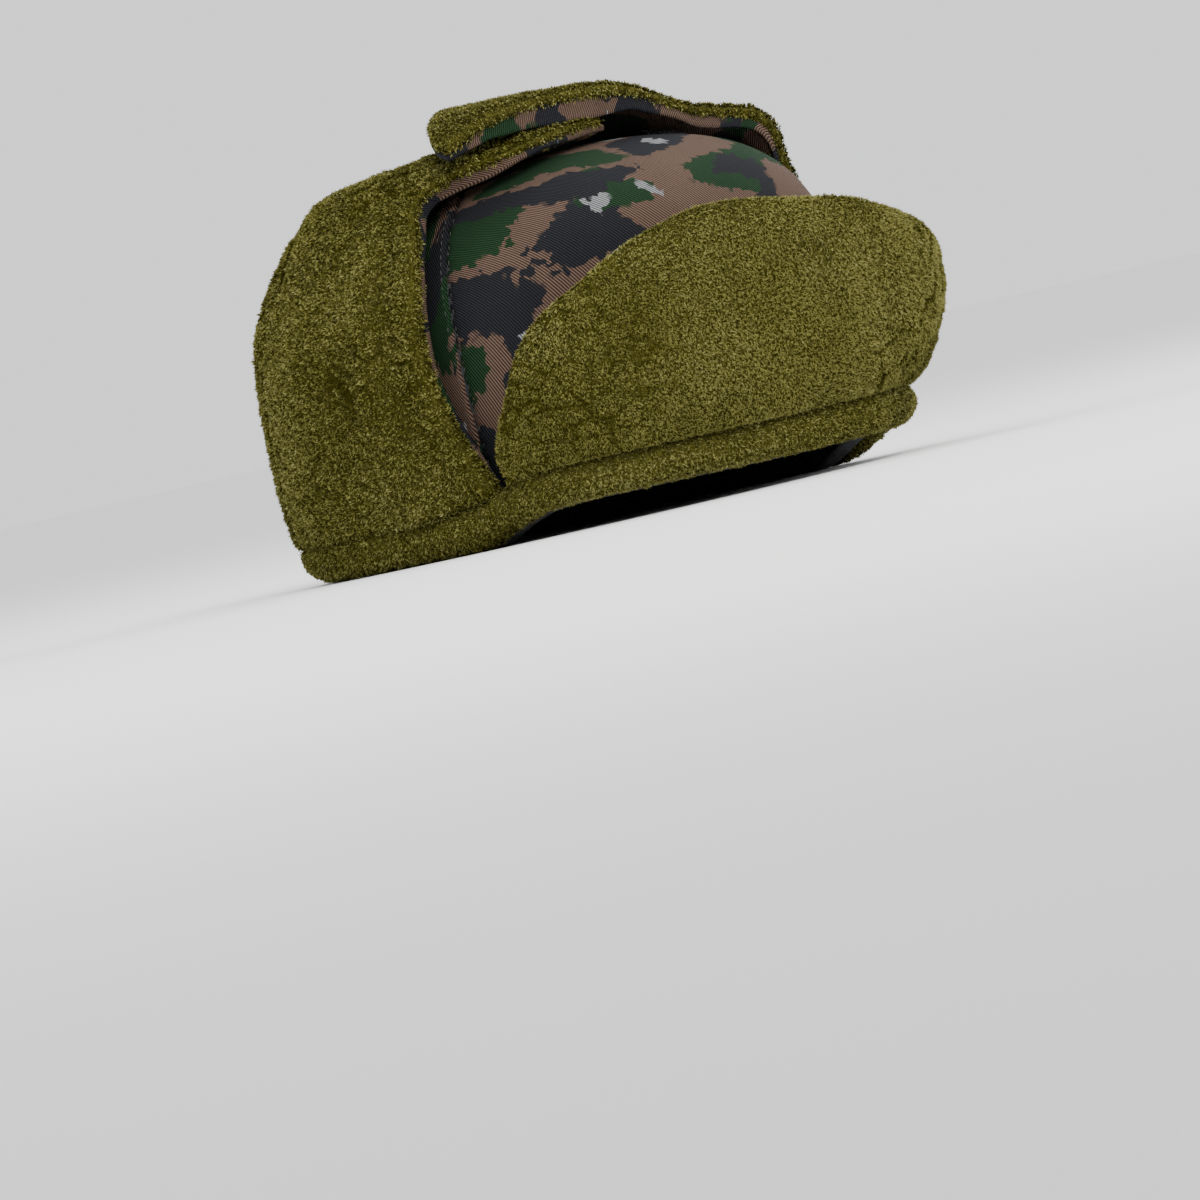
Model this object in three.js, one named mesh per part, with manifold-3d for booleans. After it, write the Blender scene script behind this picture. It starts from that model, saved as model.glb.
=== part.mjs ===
import * as THREE from 'three';
import { mergeVertices } from 'three/addons/utils/BufferGeometryUtils.js';
import Module from 'manifold-3d';

const wasm = await Module();
wasm.setup();

// A winter hat of pile and twill with its flaps folded up. Millimetres, +Z up.
// The wearer looks along -Y and the wearer's left is +X.
// Angles run round the head in degrees from the front, positive on the wearer's left.

// The crown's outer face is a dome. Every other piece lies at an offset from it.
const dome = {
  halfWidth: 88,
  frontLength: 109,
  backLength: 104,
  widestHeight: 50,
  rise: 85.5,
  depth: 86,
  planPower: 2.3,
  profilePower: 3,
  lean: 0.09,
  leanEase: 12,
};
const gap = 0.4;
const seamGap = 0.1;
const layGap = 1.5;
const crownThickness = 1.6;
const liningThickness = 2.2;
const shellBottom = 6.4;
const shellRows = 7;
const columnStep = 8;
const backingThickness = 1.2;
const pileThickness = 11;
const topPileThickness = 7.4;
const edgeThickness = 2.4;
const edgeRound = 11;

// Columns and rows of each pad, and how strongly they crowd towards its edges.
const frontGrid = { columns: 24, rows: 7, crowdAcross: 0.6, crowdUp: 0.8 };
const earGrid = { columns: 12, rows: 17, crowdAcross: 0.7, crowdUp: 0.5 };
const neckGrid = { columns: 18, rows: 8, crowdAcross: 0, crowdUp: 0.6 };

// Rough lengths of each flap along and across, by which its edges are rounded.
const earSize = { length: 240, footWidth: 110, taper: 30, neckRelease: 200 };
const neckSize = { length: 120 };
// How much sooner a pad reaches its full thickness at its foot than at its other edges.
const footHaste = { front: 2.5, ear: 2.1, neck: 2.5 };

// How far the rim's underside stands above the surface that the hat rests on.
const rimRaise = [
  { angle: 0, raise: 9 },
  { angle: 40, raise: 9.5 },
  { angle: 56, raise: 9 },
  { angle: 63, raise: 6 },
  { angle: 70, raise: 1.2 },
  { angle: 74, raise: 0 },
  { angle: 180, raise: 0 },
];

// The rolled band's section: offset from the dome and height above its underside.
const band = { height: 15, seamAngle: 64 };
const bandSection = [
  { offset: -5.5, height: 0 },
  { offset: 12.5, height: 0 },
  { offset: 16.3, height: 2.6 },
  { offset: 17.6, height: 7.5 },
  { offset: 16.4, height: 12.2 },
  { offset: 12.5, height: 15 },
  { offset: 0.6, height: 15 },
  { offset: 0.6, height: 5.9 },
  { offset: -5.5, height: 5.9 },
];

// The front flap's upper edge, from the right notch over the forehead to the left one.
const frontEdge = [
  { angle: -64, height: 29 },
  { angle: -61, height: 42 },
  { angle: -57.5, height: 54 },
  { angle: -54, height: 68 },
  { angle: -50, height: 77 },
  { angle: -43, height: 86 },
  { angle: -34, height: 96 },
  { angle: -20, height: 103 },
  { angle: 0, height: 98.5 },
  { angle: 12, height: 95 },
  { angle: 22, height: 89 },
  { angle: 34, height: 82 },
  { angle: 44, height: 75 },
  { angle: 52, height: 64 },
  { angle: 58, height: 50 },
  { angle: 61, height: 42 },
  { angle: 64, height: 29 },
];
const frontPuff = { start: 22, full: 62, amount: 18, power: 0.9, fadeFrom: 46, fadeTo: 66, fade: 0.55 };

// Each row is one path of an ear flap over the dome, from its foot up, front edge first. rim, low
// and high are angles at the foot, at lowHeight and at highHeight. shoulder, top and end are
// points in plan, and cornerLift and endLift are how far the flap stands off at the first and last.
const lowHeight = 60;
const highHeight = 103;
const rightEarPaths = [
  { rim: 64.9, low: 73.2, high: 75.2, shoulder: [66, -26], top: [46, -48], end: [0, -43], cornerLift: 5 },
  { rim: 82, low: 85, high: 84.5, shoulder: [71, -12], top: [33, -27], end: [-1, -29], cornerLift: 3 },
  { rim: 97, low: 97, high: 94, shoulder: [70, 6], top: [29, -2], end: [-1, -6], cornerLift: 7 },
  { rim: 112, low: 111, high: 107, shoulder: [64, 28], top: [28, 20], end: [0, 12], cornerLift: 7 },
  { rim: 126, low: 124, high: 120, shoulder: [54, 44], top: [26, 41], end: [2, 32], cornerLift: 3.5 },
];
const leftEarPaths = [
  { rim: 64.9, low: 71.2, high: 71.5, shoulder: [70, -40], top: [2, -42], end: [-61, -37], cornerLift: 7 },
  { rim: 82, low: 84, high: 82, shoulder: [72, -18], top: [2, -26], end: [-58, -28], cornerLift: 6 },
  { rim: 97, low: 97, high: 94, shoulder: [70, 6], top: [2, -8], end: [-47, -14], cornerLift: 4 },
  { rim: 112, low: 111, high: 107, shoulder: [64, 26], top: [2, 12], end: [-30, 3], cornerLift: 4 },
  { rim: 126, low: 124, high: 120, shoulder: [54, 44], top: [2, 32], end: [-12, 24], cornerLift: 6 },
];
const cornerBump = { level: 0.71, width: 0.13, from: 0.45, until: 0.65 };
const endLift = { amount: 4, from: 0.72 };
const neckReach = 0.5;

// The paths of the neck flap's left half, from the ear flap round to the middle of the back.
const neckPaths = [
  { rim: 126.8, low: 124.8, high: 120.8, end: [56, 51], cornerLift: 3 },
  { rim: 145, low: 144, high: 141, end: [38, 64], cornerLift: 2 },
  { rim: 163, low: 162, high: 161, end: [18, 70], cornerLift: 1 },
  { rim: 180, low: 180, high: 180, end: [0, 72], cornerLift: 1 },
];

// Offsets of a flap's outer face from the dome, by the way along its path. topBlend gives the
// upward parts of a direction between which the side's offset passes into the top's.
const sideOffset = 16.5;
const topBlend = { from: 0.35, to: 0.8 };
const lay = layGap + backingThickness + gap + topPileThickness;
const overlap = { from: 46, to: 0 };

// Seams of the crown in plan: the centre panel runs from the front over the top to the back.
const crownSeam = [
  { x: 100, y: -37 },
  { x: 84, y: -36 },
  { x: 72, y: -30 },
  { x: 54, y: -22 },
  { x: 44, y: 0 },
  { x: 42, y: 40 },
  { x: 39, y: 80 },
  { x: 38, y: 130 },
];

// The prism that cuts a side panel off reaches out past the hat, above and below.
const seamCut = { steps: 16, out: 200, below: 20, tall: 220 };
const planSteps = 12;

const olive = 0x645a23;
const twill = 0x89775f;
const charcoal = 0x2b2c2f;

const toRadians = THREE.MathUtils.degToRad;
const smooth = THREE.MathUtils.smoothstep;

// Smooth value of one column of a table at a place given by another column.
function along(table, key, column, place) {
  const last = table.length - 1;
  if (place <= table[0][key]) return table[0][column];
  if (place >= table[last][key]) return table[last][column];
  let i = 0;
  while (place > table[i + 1][key]) i += 1;
  const slope = (j) => {
    const before = table[Math.max(j - 1, 0)];
    const after = table[Math.min(j + 1, last)];
    return (after[column] - before[column]) / (after[key] - before[key]);
  };
  const span = table[i + 1][key] - table[i][key];
  const t = (place - table[i][key]) / span;
  const a = table[i][column];
  const b = table[i + 1][column];
  const h = t * t * (3 - 2 * t);
  return a + (b - a) * h + span * (slope(i) * t * (1 - t) ** 2 - slope(i + 1) * t * t * (1 - t));
}

function raiseAt(angle) {
  const fromFront = Math.min(Math.abs(angle), Math.abs(360 - angle));
  return Math.max(along(rimRaise, 'angle', 'raise', fromFront), 0);
}

function leanShift(height) {
  const above = Math.max(height - dome.widestHeight, 0);
  return -dome.lean * above * above / (above + dome.leanEase);
}

function lengthAt(y) {
  return y > 0 ? dome.backLength : dome.frontLength;
}

// The point where a direction from the dome's middle meets the dome grown by an offset.
function domePoint(direction, offset) {
  const flat = (Math.abs(direction.x) ** dome.planPower
    + Math.abs(direction.y) ** dome.planPower) ** (1 / dome.planPower);
  const reach = (flat ** dome.profilePower
    + Math.abs(direction.z) ** dome.profilePower) ** (-1 / dome.profilePower);
  const tall = direction.z > 0 ? dome.rise + offset : dome.depth;
  const height = dome.widestHeight + tall * direction.z * reach;
  return new THREE.Vector3(
    (dome.halfWidth + offset) * direction.x * reach,
    (lengthAt(direction.y) + offset) * direction.y * reach + leanShift(height),
    height,
  );
}

// The direction that meets the dome, grown by an offset, at an angle round the head and a height.
function wallDirection(angle, height, offset) {
  const up = height - dome.widestHeight;
  const level = up / (up > 0 ? dome.rise + offset : dome.depth);
  const flat = (1 - Math.abs(level) ** dome.profilePower) ** (1 / dome.profilePower);
  const s = Math.sin(toRadians(angle));
  const c = Math.cos(toRadians(angle));
  const k = (Math.abs(s) ** dome.planPower + Math.abs(c) ** dome.planPower) ** (-1 / dome.planPower);
  return new THREE.Vector3(flat * k * s, -flat * k * c, level);
}

// The same for a point given in plan, on the top of the dome.
function planDirection([x, y]) {
  let height = dome.widestHeight + dome.rise;
  let direction;
  for (let i = 0; i < planSteps; i += 1) {
    const u = x / dome.halfWidth;
    const back = y - leanShift(height);
    const v = back / lengthAt(back);
    const flat = (Math.abs(u) ** dome.planPower + Math.abs(v) ** dome.planPower) ** (1 / dome.planPower);
    const level = (1 - flat ** dome.profilePower) ** (1 / dome.profilePower);
    height = dome.widestHeight + dome.rise * level;
    direction = new THREE.Vector3(u, v, level);
  }
  return direction;
}

function wallPoint(angle, height, offset) {
  return domePoint(wallDirection(angle, height, offset), offset);
}

function bufferGeometry(points, triangles) {
  const geometry = new THREE.BufferGeometry();
  const flat = points.flatMap((p) => [p.x, p.y, p.z]);
  geometry.setAttribute('position', new THREE.Float32BufferAttribute(flat, 3));
  geometry.setIndex(triangles);
  return mergeVertices(geometry, 1e-4);
}

function addQuad(triangles, a, b, c, d) {
  triangles.push(a, b, c, a, c, d);
}

// A closed sheet: place(u, v, side) gives its outer face for side 1 and its inner for side 0.
// u runs to the wearer's left as seen from outside and v runs up.
function sheet(columns, rows, place) {
  const points = [];
  const triangles = [];
  const size = (columns + 1) * (rows + 1);
  const at = (i, j, side) => side * size + j * (columns + 1) + i;
  for (const side of [0, 1]) {
    for (let j = 0; j <= rows; j += 1) {
      for (let i = 0; i <= columns; i += 1) points.push(place(i / columns, j / rows, side));
    }
  }
  for (let j = 0; j < rows; j += 1) {
    for (let i = 0; i < columns; i += 1) {
      addQuad(triangles, at(i, j, 1), at(i + 1, j, 1), at(i + 1, j + 1, 1), at(i, j + 1, 1));
      addQuad(triangles, at(i, j, 0), at(i, j + 1, 0), at(i + 1, j + 1, 0), at(i + 1, j, 0));
    }
  }
  for (let i = 0; i < columns; i += 1) {
    addQuad(triangles, at(i, 0, 0), at(i + 1, 0, 0), at(i + 1, 0, 1), at(i, 0, 1));
    addQuad(triangles, at(i + 1, rows, 0), at(i, rows, 0), at(i, rows, 1), at(i + 1, rows, 1));
  }
  for (let j = 0; j < rows; j += 1) {
    addQuad(triangles, at(0, j + 1, 0), at(0, j, 0), at(0, j, 1), at(0, j + 1, 1));
    addQuad(triangles, at(columns, j, 0), at(columns, j + 1, 0), at(columns, j + 1, 1), at(columns, j, 1));
  }
  return bufferGeometry(points, triangles);
}

// A dome shell between two offsets, open at the rim.
function domeShell(outer, inner, bottom) {
  const columns = 360 / columnStep;
  const rows = shellRows;
  const points = [];
  const triangles = [];
  const side = rows * columns + 1;
  const at = (i, j, s) => s * side + (j === rows ? rows * columns : j * columns + (i % columns));
  for (const offset of [inner, outer]) {
    for (let j = 0; j < rows; j += 1) {
      for (let i = 0; i < columns; i += 1) {
        const angle = i * columnStep;
        const foot = wallDirection(angle, raiseAt(angle) + bottom, 0).normalize();
        const low = Math.asin(foot.z);
        const up = low + (Math.PI / 2 - low) * (j / rows);
        const level = Math.hypot(foot.x, foot.y);
        const direction = new THREE.Vector3(
          foot.x / level * Math.cos(up),
          foot.y / level * Math.cos(up),
          Math.sin(up),
        );
        points.push(domePoint(direction, offset));
      }
    }
    points.push(domePoint(new THREE.Vector3(0, 0, 1), offset));
  }
  for (let i = 0; i < columns; i += 1) {
    for (let j = 0; j < rows - 1; j += 1) {
      addQuad(triangles, at(i, j, 1), at(i + 1, j, 1), at(i + 1, j + 1, 1), at(i, j + 1, 1));
      addQuad(triangles, at(i, j, 0), at(i, j + 1, 0), at(i + 1, j + 1, 0), at(i + 1, j, 0));
    }
    triangles.push(at(i, rows - 1, 1), at(i + 1, rows - 1, 1), at(i, rows, 1));
    triangles.push(at(i + 1, rows - 1, 0), at(i, rows - 1, 0), at(i, rows, 0));
    addQuad(triangles, at(i, 0, 0), at(i + 1, 0, 0), at(i + 1, 0, 1), at(i, 0, 1));
  }
  return bufferGeometry(points, triangles);
}

// A piece of rim band between two seams, swept with the band's section. Its steps are the shell's.
function rimBand(from, to) {
  const points = [];
  const triangles = [];
  const count = bandSection.length;
  const columns = (to - from) / columnStep;
  for (let i = 0; i <= columns; i += 1) {
    const inset = i === 0 ? seamGap : -seamGap * (i === columns);
    const angle = from + i * columnStep + inset;
    const around = angle > 180 ? angle - 360 : angle;
    for (const { offset, height } of bandSection) {
      points.push(wallPoint(around, raiseAt(around) + height, offset));
    }
  }
  for (let i = 0; i < columns; i += 1) {
    for (let k = 0; k < count; k += 1) {
      const next = (k + 1) % count;
      addQuad(triangles, i * count + k, (i + 1) * count + k, (i + 1) * count + next, i * count + next);
    }
  }
  const outline = bandSection.map(({ offset, height }) => new THREE.Vector2(offset, height));
  const end = columns * count;
  for (const [a, b, c] of THREE.ShapeUtils.triangulateShape(outline, [])) {
    triangles.push(a, b, c);
    triangles.push(end + a, end + c, end + b);
  }
  return bufferGeometry(points, triangles);
}

// A pad's share of its full thickness at a distance from its nearest free edge.
function roundedShare(distance) {
  const t = THREE.MathUtils.clamp(distance / edgeRound, 0, 1);
  return Math.sqrt(1 - (1 - t) ** 2);
}

// Rows and columns of a pad crowd towards its edges.
function crowd(t, strength) {
  return t - strength * Math.sin(2 * Math.PI * t) / (2 * Math.PI);
}

// Offsets of a pile pad's two faces, and of its backing's, from the flap's outer face.
function pileOffset({ outer, thickness }, share, side) {
  const half = (edgeThickness + (thickness - edgeThickness) * share) / 2;
  return outer - thickness / 2 + (side === 1 ? half : -half);
}

function backingOffset({ outer, thickness }, share, side) {
  return outer - thickness - gap - (side === 1 ? 0 : backingThickness);
}

function frontOuter(angle, height) {
  const t = THREE.MathUtils.clamp((height - frontPuff.start) / (frontPuff.full - frontPuff.start), 0, 1);
  const fade = 1 - frontPuff.fade * smooth(Math.abs(angle), frontPuff.fadeFrom, frontPuff.fadeTo);
  const outer = sideOffset + frontPuff.amount * fade * Math.sin(t * Math.PI / 2) ** frontPuff.power;
  return { outer, thickness: pileThickness };
}

function frontPlace(u, v) {
  const reach = frontEdge[frontEdge.length - 1].angle;
  const angle = -reach + 2 * reach * u;
  const foot = raiseAt(angle) + band.height + gap;
  const tall = along(frontEdge, 'angle', 'height', angle) - foot;
  const sideways = dome.frontLength * toRadians(reach - Math.abs(angle));
  const edges = Math.min(tall * v * footHaste.front, tall * (1 - v), sideways);
  return { angle, height: foot + tall * v, edges };
}

function frontSheet(layer) {
  const { columns, rows, crowdAcross, crowdUp } = frontGrid;
  return sheet(columns, rows, (u, v, side) => {
    const across = crowd(u, crowdAcross);
    const up = crowd(v, crowdUp);
    const { angle, height, edges } = frontPlace(across, up);
    return wallPoint(angle, height, layer(frontOuter(angle, height), roundedShare(edges), side));
  });
}

// A flap's path as a curve of directions. mirror is 1 on the wearer's left and -1 on the right.
function pathCurve(row, mirror) {
  const foot = raiseAt(row.rim) + band.height + gap;
  const knots = [
    wallDirection(row.rim, foot, 0),
    wallDirection(row.low, lowHeight, 0),
    wallDirection(row.high, highHeight, 0),
  ];
  for (const name of ['shoulder', 'top', 'end']) {
    if (row[name]) knots.push(planDirection(row[name]));
  }
  knots.forEach((knot) => knot.normalize().setX(knot.x * mirror));
  return new THREE.CatmullRomCurve3(knots, false, 'centripetal');
}

function pathDirection(paths, u, v) {
  const place = u * (paths.length - 1);
  const i = Math.min(Math.floor(place), paths.length - 2);
  const t = place - i;
  const pick = (j) => paths[THREE.MathUtils.clamp(j, 0, paths.length - 1)].getPointAt(v);
  const [a, b, c, d] = [pick(i - 1), pick(i), pick(i + 1), pick(i + 2)];
  const blend = (axis) => {
    const slopeB = (c[axis] - a[axis]) / 2;
    const slopeC = (d[axis] - b[axis]) / 2;
    const h = t * t * (3 - 2 * t);
    return b[axis] + (c[axis] - b[axis]) * h + slopeB * t * (1 - t) ** 2 - slopeC * t * t * (1 - t);
  };
  return new THREE.Vector3(blend('x'), blend('y'), blend('z')).normalize();
}

// The offset of a flap's outer face: full at the side, thinner on the top, one layer up where
// the left flap crosses the right one, and more where the flap stands off.
function flapOuter(direction, v, cornerLift, upper) {
  const top = smooth(direction.z, topBlend.from, topBlend.to);
  const thickness = pileThickness + (topPileThickness - pileThickness) * top;
  const bump = Math.exp(-(((direction.z - cornerBump.level) / cornerBump.width) ** 2));
  let outer = sideOffset + (lay - sideOffset) * top;
  outer += cornerLift * bump * (upper ? 1 - smooth(v, cornerBump.from, cornerBump.until) : 1);
  if (upper) {
    outer += lay * (1 - smooth(domePoint(direction, 0).x, overlap.to, overlap.from));
    outer += endLift.amount * smooth(v, endLift.from, 1);
  }
  return { outer, thickness };
}

function liftAt(rows, u) {
  const place = u * (rows.length - 1);
  const i = Math.min(Math.floor(place), rows.length - 2);
  return rows[i].cornerLift + (rows[i + 1].cornerLift - rows[i].cornerLift) * (place - i);
}

// An ear flap. Its back edge is free only above the neck flap.
function earSheet(table, mirror, upper, layer) {
  const { columns, rows, crowdAcross, crowdUp } = earGrid;
  const paths = table.map((row) => pathCurve(row, mirror));
  return sheet(columns, rows, (u, v, side) => {
    const across = mirror > 0 ? crowd(u, crowdAcross) : 1 - crowd(u, crowdAcross);
    const up = crowd(v, crowdUp);
    const direction = pathDirection(paths, across, up);
    const width = earSize.footWidth - earSize.taper * up;
    const joined = edgeRound - Math.max(up - neckReach, 0) * earSize.neckRelease;
    const ends = earSize.length * Math.min(up * footHaste.ear, 1 - up);
    const edges = Math.min(width * across, Math.max(width * (1 - across), joined), ends);
    const flap = flapOuter(direction, up, liftAt(table, across), upper);
    return domePoint(direction, layer(flap, roundedShare(edges), side));
  });
}

function neckSheet(layer) {
  const { columns, rows, crowdAcross, crowdUp } = neckGrid;
  const table = [...neckPaths, ...neckPaths.slice(0, -1).reverse()];
  const paths = table.map((row, i) => pathCurve(row, i < neckPaths.length ? 1 : -1));
  return sheet(columns, rows, (u, v, side) => {
    const across = crowd(u, crowdAcross);
    const up = crowd(v, crowdUp);
    const direction = pathDirection(paths, across, up);
    const flap = flapOuter(direction, up, liftAt(table, across), false);
    const edges = neckSize.length * Math.min(up * footHaste.neck, 1 - up);
    return domePoint(direction, layer(flap, roundedShare(edges), side));
  });
}

function toSolid(geometry) {
  const merged = mergeVertices(geometry, 1e-4);
  const mesh = new wasm.Mesh({
    numProp: 3,
    vertProperties: new Float32Array(merged.attributes.position.array),
    triVerts: new Uint32Array(merged.index.array),
  });
  return new wasm.Manifold(mesh);
}

function fromSolid(solid) {
  const mesh = solid.getMesh();
  const geometry = new THREE.BufferGeometry();
  geometry.setAttribute('position', new THREE.BufferAttribute(new Float32Array(mesh.vertProperties), 3));
  geometry.setIndex(new THREE.BufferAttribute(new Uint32Array(mesh.triVerts), 1));
  return geometry;
}

// A tall prism over one side of a crown seam, from the seam out to beyond the hat.
function seamPrism(mirror, inset) {
  const outline = crownSeam.map(({ x, y }) => new THREE.Vector2(mirror * (x + inset), y));
  const curve = new THREE.SplineCurve(outline).getPoints(seamCut.steps);
  curve.push(new THREE.Vector2(mirror * seamCut.out, crownSeam[crownSeam.length - 1].y));
  curve.push(new THREE.Vector2(mirror * seamCut.out, crownSeam[0].y));
  const shape = new THREE.Shape(curve);
  const geometry = new THREE.ExtrudeGeometry(shape, { depth: seamCut.tall, bevelEnabled: false });
  geometry.deleteAttribute('normal');
  geometry.deleteAttribute('uv');
  return toSolid(geometry.translate(0, 0, -seamCut.below));
}

function crownPanels() {
  const shell = toSolid(domeShell(0, -crownThickness, shellBottom));
  const panels = { crown_centre_panel: shell };
  for (const [name, mirror] of [['crown_left_panel', 1], ['crown_right_panel', -1]]) {
    panels[name] = shell.intersect(seamPrism(mirror, gap / 2));
    panels.crown_centre_panel = panels.crown_centre_panel.subtract(seamPrism(mirror, -gap / 2));
  }
  return panels;
}

const hat = new THREE.Group();
const body = new THREE.Group();
hat.add(body);

function addPiece(name, geometry, color, roughness) {
  const material = new THREE.MeshStandardMaterial({ color, roughness, metalness: 0 });
  const piece = new THREE.Mesh(geometry, material);
  piece.name = name;
  body.add(piece);
}

for (const [name, solid] of Object.entries(crownPanels())) {
  addPiece(name, fromSolid(solid), twill, 0.85);
}
const liningOuter = -crownThickness - gap;
addPiece('lining', domeShell(liningOuter, liningOuter - liningThickness, shellBottom), charcoal, 0.9);
addPiece('front_rim_band', rimBand(-band.seamAngle, band.seamAngle), olive, 1);
addPiece('rear_rim_band', rimBand(band.seamAngle, 360 - band.seamAngle), olive, 1);
for (const [layer, place, color] of [['pile', pileOffset, olive], ['backing', backingOffset, twill]]) {
  addPiece(`front_flap_${layer}`, frontSheet(place), color, 0.95);
  addPiece(`right_ear_flap_${layer}`, earSheet(rightEarPaths, -1, false, place), color, 0.95);
  addPiece(`left_ear_flap_${layer}`, earSheet(leftEarPaths, 1, true, place), color, 0.95);
  addPiece(`neck_flap_${layer}`, neckSheet(place), color, 0.95);
}

// The frame's origin is under the middle of the hat's own box, on the surface it rests on.
const box = new THREE.Box3().setFromObject(hat, true);
body.position.set(-(box.min.x + box.max.x) / 2, -(box.min.y + box.max.y) / 2, -box.min.z);

export default hat;
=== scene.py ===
import bpy
import math
import numpy as np
from mathutils import Matrix


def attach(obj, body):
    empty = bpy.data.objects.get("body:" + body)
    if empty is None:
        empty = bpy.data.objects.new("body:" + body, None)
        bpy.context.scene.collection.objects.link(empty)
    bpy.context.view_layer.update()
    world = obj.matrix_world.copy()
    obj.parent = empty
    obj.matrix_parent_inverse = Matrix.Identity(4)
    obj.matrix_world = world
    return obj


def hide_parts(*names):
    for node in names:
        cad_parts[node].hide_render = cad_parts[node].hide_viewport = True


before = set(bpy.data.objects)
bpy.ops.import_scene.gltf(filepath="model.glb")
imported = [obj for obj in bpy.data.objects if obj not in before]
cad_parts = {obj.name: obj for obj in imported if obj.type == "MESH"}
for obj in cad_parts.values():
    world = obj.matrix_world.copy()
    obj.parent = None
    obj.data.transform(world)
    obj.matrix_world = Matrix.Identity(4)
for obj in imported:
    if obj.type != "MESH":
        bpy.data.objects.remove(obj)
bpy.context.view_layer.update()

# Winter hat with folded pile flaps. Lengths are worked out in millimetres and
# scaled to metres on the way into a mesh. The wearer looks along -Y.
mm = 0.001
hatShift = np.array([0.0, 12.06, 0.0])   # from the dome's middle to the frame's origin


# small helpers for objects and node trees

def addObject(name, data):
    obj = bpy.data.objects.new(name, data)
    bpy.context.collection.objects.link(obj)
    return obj


def newMaterial(name):
    material = bpy.data.materials.new(name)
    material.use_nodes = True
    tree = material.node_tree
    return material, tree, tree.nodes["Principled BSDF"]


def feed(tree, target, sockets):
    # links each socket to another node's output, or sets its own value
    for key, value in sockets.items():
        socket = target.inputs[key]
        if isinstance(value, bpy.types.NodeSocket):
            tree.links.new(value, socket)
        else:
            socket.default_value = (*value, 1) if socket.type == "RGBA" else value


def node(tree, kind, sockets, **values):
    made = tree.nodes.new(kind)
    for key, value in values.items():
        setattr(made, key, value)
    feed(tree, made, sockets)
    return made


# camera, floor and lights

shot = {
    "azimuth": -40.6, "elevation": 1.2, "roll": 13.0,
    "lens": 300.0, "sensor": 36.0,
    "pictureSide": 1200, "pixelsPerMm": 2.75,
    "hatPixel": (584, 306),              # where the hat's middle falls in the picture
    "hatMiddle": (0.0, 0.0, 78.0),
    "clip": (0.05, 200.0),
}


def turnTo(obj, right, up, back, place):
    turned = np.eye(4)
    turned[:3] = np.stack([right, up, back, place], 1)
    obj.matrix_world = Matrix(turned.tolist())


def makeCamera():
    a, e = math.radians(shot["azimuth"]), math.radians(shot["elevation"])
    roll = math.radians(shot["roll"])
    back = np.array([math.cos(e) * math.sin(a), -math.cos(e) * math.cos(a), math.sin(e)])
    level = np.array([math.cos(a), math.sin(a), 0.0])
    upright = np.cross(back, level)
    right = math.cos(roll) * level - math.sin(roll) * upright
    up = math.sin(roll) * level + math.cos(roll) * upright
    side = shot["pictureSide"]
    offX = (shot["hatPixel"][0] - side / 2) / shot["pixelsPerMm"]
    offY = (side / 2 - shot["hatPixel"][1]) / shot["pixelsPerMm"]
    aim = np.array(shot["hatMiddle"]) - offX * right - offY * up
    distance = side / shot["pixelsPerMm"] * shot["lens"] / shot["sensor"]
    camera = bpy.data.cameras.new("camera")
    camera.lens, camera.sensor_width = shot["lens"], shot["sensor"]
    camera.clip_start, camera.clip_end = shot["clip"]
    cameraObj = addObject("camera", camera)
    turnTo(cameraObj, right, up, back, (aim + distance * back) * mm)
    bpy.context.scene.camera = cameraObj


studio = {
    "floorSize": 120.0,
    "floorPaint": {"Base Color": (0.93, 0.93, 0.925), "Roughness": 0.9, "Specular IOR Level": 0.1},
    "world": {"Color": (0.985, 0.99, 1.0), "Strength": 1.25},
    "lampAim": (0, 0, 0.08),
    "lamps": {                           # place in metres, size, watts, colour
        "keyLamp": ((-0.55, -1.5, 1.45), 1.1, 34.0, (1.0, 0.98, 0.95)),
        "sideLamp": ((1.6, -0.9, 0.9), 1.3, 18.0, (0.96, 0.98, 1.0)),
        "topLamp": ((0.0, 0.5, 1.9), 1.4, 14.0, (1.0, 1.0, 1.0)),
        "backLamp": ((-1.6, 0.9, 0.8), 1.2, 8.0, (1.0, 1.0, 1.0)),
    },
}


def makeStudio():
    half = studio["floorSize"] / 2
    floorMesh = bpy.data.meshes.new("floor")
    corners = [(-half, -half, 0), (half, -half, 0), (half, half, 0), (-half, half, 0)]
    floorMesh.from_pydata(corners, [], [(0, 1, 2, 3)])
    floor = addObject("floor", floorMesh)
    paint, tree, shader = newMaterial("floorPaint")
    feed(tree, shader, studio["floorPaint"])
    floorMesh.materials.append(paint)
    world = bpy.data.worlds.new("studio")
    bpy.context.scene.world = world
    world.use_nodes = True
    feed(world.node_tree, world.node_tree.nodes["Background"], studio["world"])
    for name, (place, size, watts, color) in studio["lamps"].items():
        lamp = bpy.data.lights.new(name, "AREA")
        lamp.shape, lamp.size, lamp.energy, lamp.color = "SQUARE", size, watts, color
        back = np.array(place) - np.array(studio["lampAim"])
        back = back / np.linalg.norm(back)
        level = np.cross([0, 0, 1], back)
        level = level / np.linalg.norm(level)
        turnTo(addObject(name, lamp), level, np.cross(back, level), back, place)


makeCamera()
makeStudio()
print("camera and studio ready")


# the head's form, which everything lies on

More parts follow.
